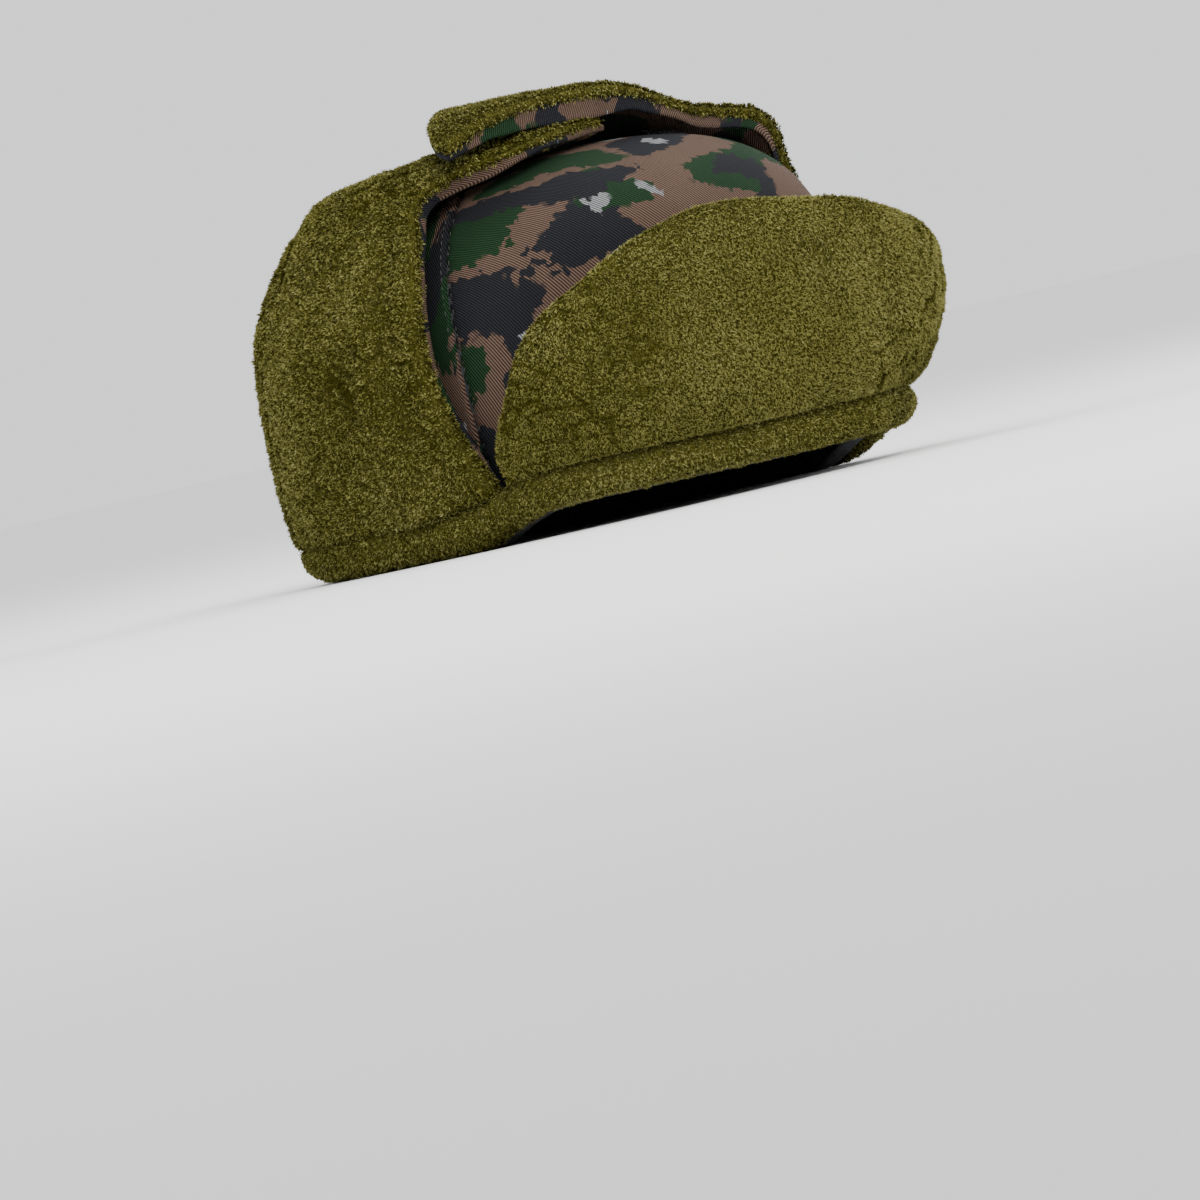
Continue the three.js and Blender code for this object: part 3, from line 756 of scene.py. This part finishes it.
def frontOuter(angle, height):
    look = frontFlap
    t = np.clip((height - look["puffStart"]) / (look["puffFull"] - look["puffStart"]), 0, 1)
    fade = 1 - look["fade"] * smooth(np.abs(angle), look["fadeFrom"], look["fadeTo"])
    return layers["sideOffset"] + look["puff"] * fade * np.sin(t * np.pi / 2) ** look["puffPower"]


def frontWall(place, offset):
    return domePoint(wallDirection(place[..., 0], place[..., 1], offset), offset)


def footEdge(distance, crease):
    # distance to the fold at the foot, which counts for more where the fold's crease is soft
    return (distance + 0.2) / crease * 1.6


def frontGrid(u, v, inset, insetAngle):
    look = frontFlap
    reach = look["edge"][-1][0] - insetAngle
    angle = -reach + 2 * reach * u
    foot = raiseAt(angle) + layers["bandHeight"] + layers["gap"]
    tall = along(look["edge"], angle) - inset - foot
    sideways = dome["frontLength"] * np.radians(reach - np.abs(angle))
    return angle, foot + tall * v, tall, sideways


def makeFrontFlap():
    look = frontFlap
    v, u = np.meshgrid(crowd(look["rows"], 0.8), crowd(look["columns"], 0.6), indexing="ij")
    angle, height, tall, sideways = frontGrid(u, v, look["inset"], look["insetAngle"])
    foot = footEdge(tall * v, np.maximum(along(look["creases"], angle), 0.05))
    edges = np.minimum(np.minimum(foot, tall * (1 - v)), sideways)
    makePad("frontFlapPile", "front_flap_pile", np.stack([angle, height], -1),
            frontOuter(angle, height), layers["pile"], edges, look, frontWall)


makeFrontFlap()


# ear flaps and neck flap

flapTall = {"ear": 240.0, "neck": 120.0}         # rough height of a flap's path, mm
foldLine = {"low": 60.0, "high": 103.0, "topFrom": 0.35, "topTo": 0.8,
            "bumpLevel": 0.71, "bumpWidth": 0.13, "bumpFrom": 0.45, "bumpUntil": 0.65,
            "endLift": 4.0, "endLiftFrom": 0.72, "overlapFrom": 46.0, "overlapTo": 0.0,
            "neckReach": 0.5, "neckRelease": 200.0}
earShape = {
    "foot": 110.0, "taper": 30.0,                # width in mm
    "top": 0.992, "back": 0.994, "hemShare": 0.35,
    "ridge": (26, 8), "groove": (13, 6), "grooveShare": 0.7,      # mm from the front edge, width
    "sideEnds": (0.45, 0.62),                    # shares of the way up
    "creases": [(0, 1.0), (0.35, 0.85), (0.6, 0.3), (1, 0.45)],   # share of the width, strength
}
rightEarFlap = {    # angles at the foot, low and high, then plan points, then lift of the corner
    "paths": [(64.9, 73.2, 75.2, (66, -26), (46, -48), (0, -43), 5),
              (82, 85, 84.5, (71, -12), (33, -27), (-1, -29), 3),
              (97, 97, 94, (70, 6), (29, -2), (-1, -6), 7),
              (112, 111, 107, (64, 28), (28, 20), (0, 12), 7),
              (126, 124, 120, (54, 44), (26, 41), (2, 32), 3.5)],
    "side": -1, "upper": False, "columns": 60, "rows": 118,
    "round": 9.0, "dents": 1.2, "fill": 0.7, "cracksFrom": -0.15, "ridge": 3.2,
    "facing": [(0, 1.0), (0.45, 1.2), (0.55, 3.0), (0.62, 4.8), (0.70, 4.2), (0.80, 1.5), (1, 0.8)],
    "hemShows": 1.8,                     # twill seen along the front edge: way up, height
    "fibres": 80000, "seed": 31, "comb": (0.0, 0.55, -0.6),
}
leftEarFlap = {
    "paths": [(64.9, 71.2, 71.5, (70, -40), (2, -42), (-61, -37), 7),
              (82, 84, 82, (72, -18), (2, -26), (-58, -28), 6),
              (97, 97, 94, (70, 6), (2, -8), (-47, -14), 4),
              (112, 111, 107, (64, 26), (2, 12), (-30, 3), 4),
              (126, 124, 120, (54, 44), (2, 32), (-12, 24), 6)],
    "side": 1, "upper": True, "columns": 60, "rows": 124,
    "round": 8.0, "dents": 1.0, "fill": 0.6, "cracksFrom": 0.1, "ridge": 0.8,
    "facing": [(0, 1.0), (0.4, 1.5), (0.5, 3.5), (0.6, 3.5), (0.7, 5.0), (0.82, 7.5), (0.9, 5.5), (1, 0.8)],
    "hemShows": 1.8,
    # its light is a little above the default: painted light
    "fibres": 80000, "seed": 51, "comb": (-0.7, -0.2, -0.2), "tilt": 0.45, "clumping": 0.9, "light": 0.196,
}
neckFlap = {
    "paths": [(126.8, 124.8, 120.8, (56, 51), 3), (145, 144, 141, (38, 64), 2),
              (163, 162, 161, (18, 70), 1), (180, 180, 180, (0, 72), 1)],
    "columns": 96, "rows": 50, "round": 9.0, "dents": 1.2, "fill": 0.7, "cracksFrom": -0.1,
    "fibres": 62000, "seed": 71, "comb": (0.0, 0.2, -0.8), "long": 1.2,
}


def pathCurve(row, side, places):
    foot = float(raiseAt(row[0])) + layers["bandHeight"] + layers["gap"]
    heights = (foot, foldLine["low"], foldLine["high"])
    knots = [wallDirection(angle, height) for angle, height in zip(row, heights)]
    knots += [planDirection(*point) for point in row[3:-1]]
    knots = unit(np.array(knots)) * np.array([side, 1, 1])
    return curveThrough(knots, places)


def pathDirections(rows, sides, across, up):
    # directions of a flap's grid, whose across is the way from the first path to the last
    curves = np.array([pathCurve(row, side, up) for row, side in zip(rows, sides)])
    last = len(rows) - 1
    place = across * last
    i = np.clip(np.floor(place).astype(int), 0, last - 1)
    t = (place - i)[..., None]
    level = np.arange(len(up))[:, None]
    a, b, c, d = (curves[np.clip(i + k, 0, last), level] for k in (-1, 0, 1, 2))
    h = t * t * (3 - 2 * t)
    mixed = b + (c - b) * h + (c - a) / 2 * t * (1 - t) ** 2 - (d - b) / 2 * t * t * (1 - t)
    return unit(mixed)                           # rows go up, columns go across


def flapOuter(direction, up, cornerLift, upper):
    fold = foldLine
    level = direction[..., 2]
    top = smooth(level, fold["topFrom"], fold["topTo"])
    thickness = layers["pile"] + (layers["topPile"] - layers["pile"]) * top
    bump = hump(level, fold["bumpLevel"], fold["bumpWidth"])
    outer = layers["sideOffset"] + (lay - layers["sideOffset"]) * top
    if upper:
        outer = outer + cornerLift * bump * (1 - smooth(up, fold["bumpFrom"], fold["bumpUntil"]))
        crossed = domePoint(direction, 0.0)[..., 0]
        outer = outer + lay * (1 - smooth(crossed, fold["overlapTo"], fold["overlapFrom"]))
        outer = outer + fold["endLift"] * smooth(up, fold["endLiftFrom"], 1)
    else:
        outer = outer + cornerLift * bump
    return outer, thickness


def flapGrid(rows, sides, across, up, upper=False):
    direction = pathDirections(rows, sides, across, up)
    place = np.clip(across, 0, 1) * (len(rows) - 1)
    lifts = np.interp(place, range(len(rows)), [row[-1] for row in rows])
    outer, thickness = flapOuter(direction, up[:, None], lifts, upper)
    return direction, outer, thickness


def earGrid(look, start, end, columns, crowding, up):
    # a grid over an ear flap from start to end, in mm from its front and shares of its width
    width = (earShape["foot"] - earShape["taper"] * up)[:, None]
    first = start[:, None] / width
    across = first + (end - first) * crowd(columns, crowding)
    rows = look["paths"]
    direction, outer, thickness = flapGrid(rows, [look["side"]] * len(rows), across, up, look["upper"])
    return direction, outer, thickness, width * (across - first), width * (end - across), across


def frontInset(look, up):
    # how far the pile's front edge stays behind the hem's
    return look["hemShows"] + earShape["hemShare"] * along(look["facing"], up)


def hump(place, middle, width):
    return np.exp(-((place - middle) / width) ** 2)


def makeEarFlap(name, node, look):
    shape = earShape
    up = shape["top"] * crowd(look["rows"], 0.45)
    direction, outer, thickness, fromFront, fromBack, across = earGrid(
        look, frontInset(look, up), shape["back"], look["columns"], 0.6, up)
    up = up[:, None]
    joined = look["round"] - np.maximum(up - foldLine["neckReach"], 0) * foldLine["neckRelease"]
    fromBack = np.maximum(fromBack, joined)      # lower down it runs on into the neck flap
    foot = footEdge(flapTall["ear"] * up, along(shape["creases"], across))
    fromEnd = flapTall["ear"] * (shape["top"] - up)
    edges = np.minimum(np.minimum(fromFront, fromBack), np.minimum(foot, fromEnd))
    ridge = hump(fromFront, *shape["ridge"]) - shape["grooveShare"] * hump(fromFront, *shape["groove"])
    outer = outer + look["ridge"] * (1 - smooth(up, *shape["sideEnds"])) * ridge
    makePad(name, node, direction, outer, thickness, edges, look)


def neckTable():
    rows = neckFlap["paths"]
    return rows + rows[-2::-1], [1] * len(rows) + [-1] * (len(rows) - 1)


def neckGrid(across, up):
    rows, sides = neckTable()
    return flapGrid(rows, sides, np.broadcast_to(across, (len(up), len(across))), up)


def makeNeckFlap():
    look = neckFlap
    top = 0.988
    across = np.linspace(0, 1, look["columns"])
    up = top * crowd(look["rows"], 0.6)
    direction, outer, thickness = neckGrid(across, up)
    up, across = np.meshgrid(up, across, indexing="ij")
    crease = 0.55 + 0.45 * softNoise(np.stack([across * 9, up * 0, up * 0], -1), 1.0, 5)
    edges = np.minimum(footEdge(flapTall["neck"] * up, crease), flapTall["neck"] * (top - up))
    makePad("neckFlapPile", "neck_flap_pile", direction, outer, thickness, edges, look)


makeEarFlap("rightEarFlapPile", "right_ear_flap_pile", rightEarFlap)
makeEarFlap("leftEarFlapPile", "left_ear_flap_pile", leftEarFlap)
makeNeckFlap()
print("flaps ready")


# rolled rim

rim = {
    "section": [(1.0, 3.4), (3.2, 1.9), (8.0, 1.7), (12.3, 2.3), (15.0, 4.6), (15.9, 8.0), (14.9, 11.8),
                (11.8, 14.4), (6.5, 14.8), (1.6, 13.6), (1.0, 9.0)],
    "around": 34, "step": 1.15, "ends": 0.12,
    "dents": 0.7, "fill": 0.7, "cracksFrom": 0.0,
    "comb": (0.1, 0.0, -0.6), "tilt": 0.45, "long": 0.95, "clumping": 0.8, "grain": 0.36,
}
# both rims set a light above the default: painted light, most on the front rim
rimParts = {
    "frontRim": {"node": "front_rim_band", "from": -64.0, "to": 64.0, "fibres": 25000, "seed": 91,
                 "contrast": 0.45, "light": 0.28},
    "rearRim": {"node": "rear_rim_band", "from": 64.0, "to": 296.0, "fibres": 41000, "seed": 111,
                "light": 0.212},
}


def rimPoint(angle, offset, height):
    around = np.where(angle > 180, angle - 360, angle)
    high = raiseAt(around) + height
    return domePoint(wallDirection(around, high, offset), offset)


def ringSection(table, count):
    # a closed section through the table's points, as columns of offsets and heights
    loop = [(offset, height, 0) for offset, height in table + table[:1]]
    section = curveThrough(loop, np.linspace(0, 1, count + 1)[:-1])
    return section[:, :1], section[:, 1:2]


def makeRim(name, part):
    look = {**rim, **part}
    offset, height = ringSection(look["section"], look["around"])
    columns = int((look["to"] - look["from"]) / look["step"]) + 1
    angle = np.linspace(look["from"] + look["ends"], look["to"] - look["ends"], columns)
    swell = (lumps(rimPoint(angle, offset, height), look) + 0.25) * smooth(offset, 5, 13)
    points = rimPoint(angle, offset + 0.9 * swell, height + 0.5 * swell * smooth(height, 5, 12))
    rows = look["around"]
    points = points.transpose(1, 0, 2).reshape(-1, 3)      # stations round the head, then the section
    quads = gridQuads(columns, rows, wrap=True)
    caps = []
    for station in (0, columns - 1):
        ring = station * rows + np.arange(rows)
        for k in range(rows // 2 - 1):
            cap = [ring[k], ring[k + 1], ring[rows - 2 - k], ring[rows - 1 - k]]
            caps.append(cap if station else cap[::-1])
    quads = turnOutward(points, np.concatenate([quads, np.array(caps)]))
    # fewer fibres on the inside, and none where it lies against the crown
    furry = (0.25 + 0.75 * smooth(offset, 2, 8)) * ~((offset < 3) & (height > 5))
    furry = np.tile(furry.ravel(), columns)
    piece = makePiece(name + "Pile", points, quads, [skinMaterial])
    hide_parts(look["node"])
    growFleece(name + "Fleece", points, quads, furry, look)


for rimName, rimPart in rimParts.items():
    makeRim(rimName, rimPart)
print("rim ready")


# crown

crown = {
    "footAngle": 70.5, "wideAngle": 70.9, "backAngle": 155.2, "backFootAngle": 153.2,
    "seam": [(72, -30), (54, -22), (44, 0), (42, 40), (40, 72)], "foot": 6.4,
    "rows": 180, "columns": 60, "sideColumns": 30, "seamSink": 1.7, "seamWidth": 1.7,
    "pucker": 0.55, "puckerLength": 6.5, "puckerReach": 5.5, "under": 0.45,
    "slack": [(38, 0.5), (13, 0.18)], "slackFrom": 12,
}


def seamDirections(side, places):
    widest = dome["widestHeight"]
    foot = float(raiseAt(crown["footAngle"])) + crown["foot"]
    knots = [wallDirection(crown["footAngle"], foot), wallDirection(crown["wideAngle"], widest)]
    knots += [planDirection(*point) for point in crown["seam"]]
    knots.append(wallDirection(crown["backAngle"], widest))
    knots.append(wallDirection(crown["backFootAngle"], crown["foot"]))
    return curveThrough(unit(np.array(knots)) * np.array([side, 1, 1]), places)


def middleDirections(places):
    frontFoot = float(raiseAt(0.0)) + crown["foot"]
    knots = [wallDirection(0, height) for height in (frontFoot, 50, 100)]
    knots += [planDirection(0, y) for y in (-60, -10, 45)]
    knots += [wallDirection(180, height) for height in (100, 50, crown["foot"])]
    return curveThrough(unit(np.array(knots)), places)


def clothUv(points):
    # arc lengths across, from the middle column, and along that column
    middle = points.shape[1] // 2
    steps = np.linalg.norm(np.diff(points, axis=1), axis=2)
    across = np.concatenate([np.zeros((len(points), 1)), np.cumsum(steps, axis=1)], axis=1)
    across -= across[:, middle:middle + 1]
    up = walkedAlong(points[:, middle])
    return np.stack([across, np.broadcast_to(up[:, None], across.shape)], -1).reshape(-1, 2) * mm


def seamOffset(points, fromSeam, alongSeam, seed):
    # cloth sinks into the seam and puckers beside it
    look = crown
    sink = look["seamSink"] * np.exp(-(fromSeam / look["seamWidth"]) ** 2)
    phase = 2 * np.pi * alongSeam / look["puckerLength"] + 2.5 * softNoise(points, 14, seed)
    strength = 0.6 + 0.6 * softNoise(points, 20, seed + 1)
    ripple = look["pucker"] * strength * np.sin(phase) * np.exp(-(fromSeam / look["puckerReach"]) ** 2)
    slack = mixedNoise(points, look["slack"], seed + 2)
    return ripple - sink + slack * smooth(fromSeam, 0, look["slackFrom"]) - look["under"]


def makePanel(name, node, direction, fromSeam, alongSeam, material, seed):
    flat = domePoint(direction, 0.0)
    offset = seamOffset(flat, fromSeam, alongSeam, seed)
    points = domePoint(direction, offset).reshape(-1, 3)
    quads = gridQuads(*direction.shape[:2])
    outward = points[quads].mean(axis=1) - [0, 0, 40]
    if (quadCross(points, quads) * outward).sum() < 0:
        quads = quads[:, ::-1]
    piece = makePiece(name, points, quads, [material], uvs=clothUv(flat))
    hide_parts(node)


def makeCrown():
    look = crown
    s = np.linspace(0, 1, look["rows"])
    right, left, middle = seamDirections(-1, s), seamDirections(1, s), middleDirections(s)
    t = 2 * crowd(look["columns"], 0.75) - 1
    weights = (t * (t - 1) / 2, 1 - t * t, t * (t + 1) / 2)
    direction = sum(w[None, :, None] * d[:, None, :] for w, d in zip(weights, (right, middle, left)))
    # the front foot follows the rim, which stands higher there
    base = domePoint(direction, 0.0)
    angle = np.degrees(np.arctan2(direction[..., 0], -direction[..., 1]))
    foot = raiseAt(angle) + look["foot"]
    low = (foot > base[..., 2]) & (s < 0.3)[:, None]
    direction = np.where(low[..., None], wallDirection(angle, foot), direction)
    base = domePoint(direction, 0.0)
    fromRight = np.linalg.norm(base - base[:, :1], axis=2)
    fromLeft = np.linalg.norm(base - base[:, -1:], axis=2)
    alongSeam = walkedAlong(base[:, 0])[:, None]
    makePanel("crownCentrePanel", "crown_centre_panel", direction, np.minimum(fromRight, fromLeft),
              np.broadcast_to(alongSeam, fromRight.shape), frontTwill, 131)
    for name, node, side, seam in (("crownRightPanel", "crown_right_panel", -1, right),
                                   ("crownLeftPanel", "crown_left_panel", 1, left)):
        angle = look["footAngle"] + (look["backFootAngle"] - look["footAngle"]) * s
        foot = unit(wallDirection(angle, raiseAt(angle) + look["foot"])) * np.array([side, 1, 1])
        across = crowd(look["sideColumns"] * 2 - 1, 0.8)[:look["sideColumns"]] * 2
        w = across[None, :, None]
        direction = unit(unit(seam)[:, None] * (1 - w) + foot[:, None] * w)
        base = domePoint(direction, 0.0)
        fromSeam = np.linalg.norm(base - base[:, :1], axis=2)
        makePanel(name, node, direction, fromSeam, np.broadcast_to(alongSeam, fromSeam.shape), sideTwill,
                  151 + side)


makeCrown()


# topstitching beside the crown seams

stitches = {
    "length": 2.3, "pitch": 3.1, "radius": 0.22, "endRadius": 0.121, "sides": 4,
    "rows": (-1.7, 1.7),                         # mm to either side of the seam
    "first": 4, "last": 6,                       # mm left free at the seam's two ends
    # along a stitch: share of its length, height over the cloth
    "arch": [(0, -0.25), (0.25, 0.2), (0.5, 0.28), (0.75, 0.2), (1, -0.25)],
    "dark": (0.010, 0.010, 0.010), "light": (0.055, 0.053, 0.048), "ply": 2500.0, "roughness": 0.55,
}


def threadMaterial():
    material, tree, shader = newMaterial("thread")
    ply = noise(tree, objectPlace(tree), stitches["ply"], 2.0)
    feed(tree, shader, {"Base Color": mixColor(tree, ply, stitches["dark"], stitches["light"]),
                        "Roughness": stitches["roughness"]})
    return material


def stitchRings(ends, sideways, outward):
    # rings of points round a short arched thread
    look = stitches
    rings = []
    for k, (share, height) in enumerate(look["arch"]):
        centre = ends[0] * (1 - share) + ends[1] * share + outward * height
        radius = look["endRadius"] if k in (0, len(look["arch"]) - 1) else look["radius"]
        for m in range(look["sides"]):
            turn = 2 * math.pi * m / look["sides"]
            rings.append(centre + radius * (math.cos(turn) * sideways + math.sin(turn) * outward))
    return rings


def makeStitches():
    look = stitches
    thread = threadMaterial()
    fine = np.linspace(0, 1, 1200)
    tube = gridQuads(len(look["arch"]), look["sides"], wrap=True)
    for name, side in (("rightSeamStitches", -1), ("leftSeamStitches", 1)):
        directions = seamDirections(side, fine)
        seam = domePoint(directions, 0.0)
        walked = walkedAlong(seam)
        outward = unit(seam - domePoint(directions, -2.0))
        sideways = unit(np.cross(unit(np.gradient(seam, axis=0)), outward))
        points, faces = [], []
        for row in look["rows"]:
            sink = crown["seamSink"] * math.exp(-(row / crown["seamWidth"]) ** 2) + crown["under"]
            for start in np.arange(look["first"], walked[-1] - look["last"], look["pitch"]):
                at = np.interp([start, start + look["length"]], walked, np.arange(len(fine))).astype(int)
                ends = [seam[i] + sideways[i] * row - outward[i] * sink for i in at]
                faces.append(tube + len(points))
                points += stitchRings(ends, sideways[at[0]], outward[at[0]])
        quads = np.concatenate(faces)
        if side > 0:
            quads = quads[:, ::-1]
        makePiece(name, np.array(points), quads, [thread])


makeStitches()
print("crown ready")


# twill backings of the flaps

backing = {
    "columns": 34, "rows": 84, "thickness": 1.2, "hemThickness": 1.9, "hemWidth": 6.0, "curl": 3.6,
    "puckers": [(17.0, 0.9), (7.0, 0.36)], "puckerShare": 0.3, "clearance": 0.1,
    "front": {"rows": 26, "columns": 110}, "neck": {"rows": 34, "columns": 60},
}


def makeBacking(name, node, direction, outer, thickness, fromEdge, inset, facing,
                place=domePoint):
    # a thin sheet under a pile pad: it rises to the pad's edge, and its hem shows past it
    look = backing
    hemShare = 1 - smooth(fromEdge, inset, inset + look["hemWidth"])
    rough = place(direction, outer - thickness)
    ripple = mixedNoise(rough, look["puckers"], 7)
    half = (look["thickness"] + (look["hemThickness"] - look["thickness"]) * hemShare) / 2
    half = half * np.sqrt(1 - (1 - np.clip((fromEdge + 0.15) / 0.9, 0.12, 1)) ** 2)
    middle = outer - thickness - layers["gap"] - look["thickness"] / 2
    middle = middle + look["curl"] * hemShare + look["puckerShare"] * ripple
    # it stays under the pad's lower face
    under = roundOff(fromEdge - inset, pad["bottomRound"])
    padFace = outer - thickness / 2 - pad["halfEdge"] - (thickness / 2 - pad["under"]) * under
    middle = np.minimum(middle, padFace - half - look["clearance"])
    middle = middle + (ripple - facing) * (1 - smooth(fromEdge, 0, inset + 0.8))
    upper, lower = place(direction, middle + half), place(direction, middle - half)
    points, quads = closedSheet(upper, lower)
    quads = turnOutward(points, quads)
    uv = clothUv(upper)
    piece = makePiece(name, points, quads, [backingTwill], uvs=np.concatenate([uv, uv]))
    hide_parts(node)


def makeFrontBacking():
    look = backing["front"]
    v, u = np.meshgrid(crowd(look["rows"], 0.5), crowd(look["columns"], 0.6), indexing="ij")
    angle, height, tall, sideways = frontGrid(u, v, 0.4, 0.3)
    fromEdge = np.minimum(tall * (1 - v), sideways)
    makeBacking("frontFlapBacking", "front_flap_backing", np.stack([angle, height], -1),
                frontOuter(angle, height), layers["pile"], fromEdge, 1.1, 0.0, frontWall)


def makeEarBacking(name, node, flap):
    up = crowd(backing["rows"], 0.3)
    direction, outer, thickness, fromFront, fromBack, _ = earGrid(
        flap, 0 * up, 1.0, backing["columns"], 0.8, up)
    fromEnd = flapTall["ear"] * (1 - up)[:, None]
    inset = frontInset(flap, up)[:, None]
    fromEdge = np.minimum(fromFront, np.minimum(fromBack, fromEnd) + inset - 1.0)
    facing = along(flap["facing"], up)[:, None] * smooth(fromBack, 10, 30)
    makeBacking(name, node, direction, outer, thickness, fromEdge, inset, facing)


def makeNeckBacking():
    look = backing["neck"]
    up = crowd(look["rows"], 0.5)
    direction, outer, thickness = neckGrid(np.linspace(0, 1, look["columns"]), up)
    fromEdge = flapTall["neck"] * (1 - up)[:, None] + np.zeros(look["columns"])
    makeBacking("neckFlapBacking", "neck_flap_backing", direction, outer, thickness, fromEdge,
                1.4, 0.0)


makeFrontBacking()
makeEarBacking("rightEarFlapBacking", "right_ear_flap_backing", rightEarFlap)
makeEarBacking("leftEarFlapBacking", "left_ear_flap_backing", leftEarFlap)
makeNeckBacking()
print("backings ready")


# lining and its hem at the rim

lining = {
    "outer": -2.0, "inner": -4.2, "columns": 96, "rows": 28, "foot": 1.2, "sheet": (0.40, 0.26),
    "top": 0.985,                                # share of the way up where the grid ends in a point
    "slack": [(30, 0.5), (11, 0.25)],
    "clothAround": 0.56, "clothUp": 0.11,        # metres of cloth for the weave
}
hem = {
    "section": [(-5.2, 0.6), (-4.0, 0.1), (0.5, 0.0), (3.0, 0.15), (3.9, 0.9), (3.2, 1.9), (0.4, 2.4),
                (-3.6, 3.4), (-4.9, 2.2)],
    "columns": 220, "around": 18, "lowest": 0.05, "waver": 0.5,
}


def makeLining():
    look = lining
    angle = np.linspace(0, 360, look["columns"], endpoint=False)
    around = np.where(angle > 180, angle - 360, angle)
    foot = unit(wallDirection(around, raiseAt(around) + look["foot"]))
    low = np.arcsin(foot[:, 2])
    t = np.linspace(0, look["top"], look["rows"])[:, None]
    up = low + (np.pi / 2 - low) * t
    level = np.hypot(foot[:, 0], foot[:, 1])
    direction = np.stack([foot[:, 0] / level * np.cos(up), foot[:, 1] / level * np.cos(up), np.sin(up)], -1)
    base = domePoint(direction, look["inner"])
    slack = mixedNoise(base, look["slack"], 171)
    faces, points = [], []
    size = look["rows"] * look["columns"] + 1
    for k, offset in enumerate((look["outer"], look["inner"])):
        layer = domePoint(direction, offset + slack)
        apex = domePoint(np.array([0.0, 0.0, 1.0]), offset)
        points += [layer.reshape(-1, 3), apex[None]]
        quads = gridQuads(look["rows"], look["columns"], wrap=True, start=k * size)
        faces.append(quads if k == 0 else quads[:, ::-1])
        ring = k * size + (look["rows"] - 1) * look["columns"] + np.arange(look["columns"])
        tip = np.full(look["columns"] // 2, (k + 1) * size - 1)
        cap = np.stack([ring[0::2], ring[1::2], np.roll(ring[0::2], -1), tip], 1)
        faces.append(cap if k == 0 else cap[:, ::-1])
    bottom = np.arange(look["columns"])
    faces.append(np.stack([np.roll(bottom, -1), bottom, bottom + size, np.roll(bottom, -1) + size], 1))
    points, quads = np.concatenate(points), np.concatenate(faces)
    quads = turnOutward(points, quads)
    across = np.tile(angle / 360 * look["clothAround"], look["rows"])
    uv = np.stack([across, (up * look["clothUp"]).ravel()], -1)
    uv = np.concatenate([uv, [[look["clothAround"] / 2, 0.17]]])
    uvs = np.concatenate([uv, uv])
    piece = makePiece("crownLining", points, quads, [liningTwill], uvs=uvs)
    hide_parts("lining")


def makeHem():
    look = hem
    offset, height = ringSection(look["section"], look["around"])
    height = np.maximum(height, look["lowest"])
    angle = np.linspace(0, 360, look["columns"], endpoint=False)
    waver = look["waver"] * softNoise(rimPoint(angle, offset, height), 14, 191)
    rings = rimPoint(angle, offset + waver, height).transpose(1, 0, 2)
    points = rings.reshape(-1, 3)
    quads = gridQuads(look["columns"] + 1, look["around"], wrap=True) % len(points)
    uvs = clothUv(np.concatenate([rings, rings[:1]]))[:len(points)]
    makePiece("rimHem", points, turnOutward(points, quads), [liningTwill], uvs=uvs)


makeLining()
makeHem()
print("lining ready")
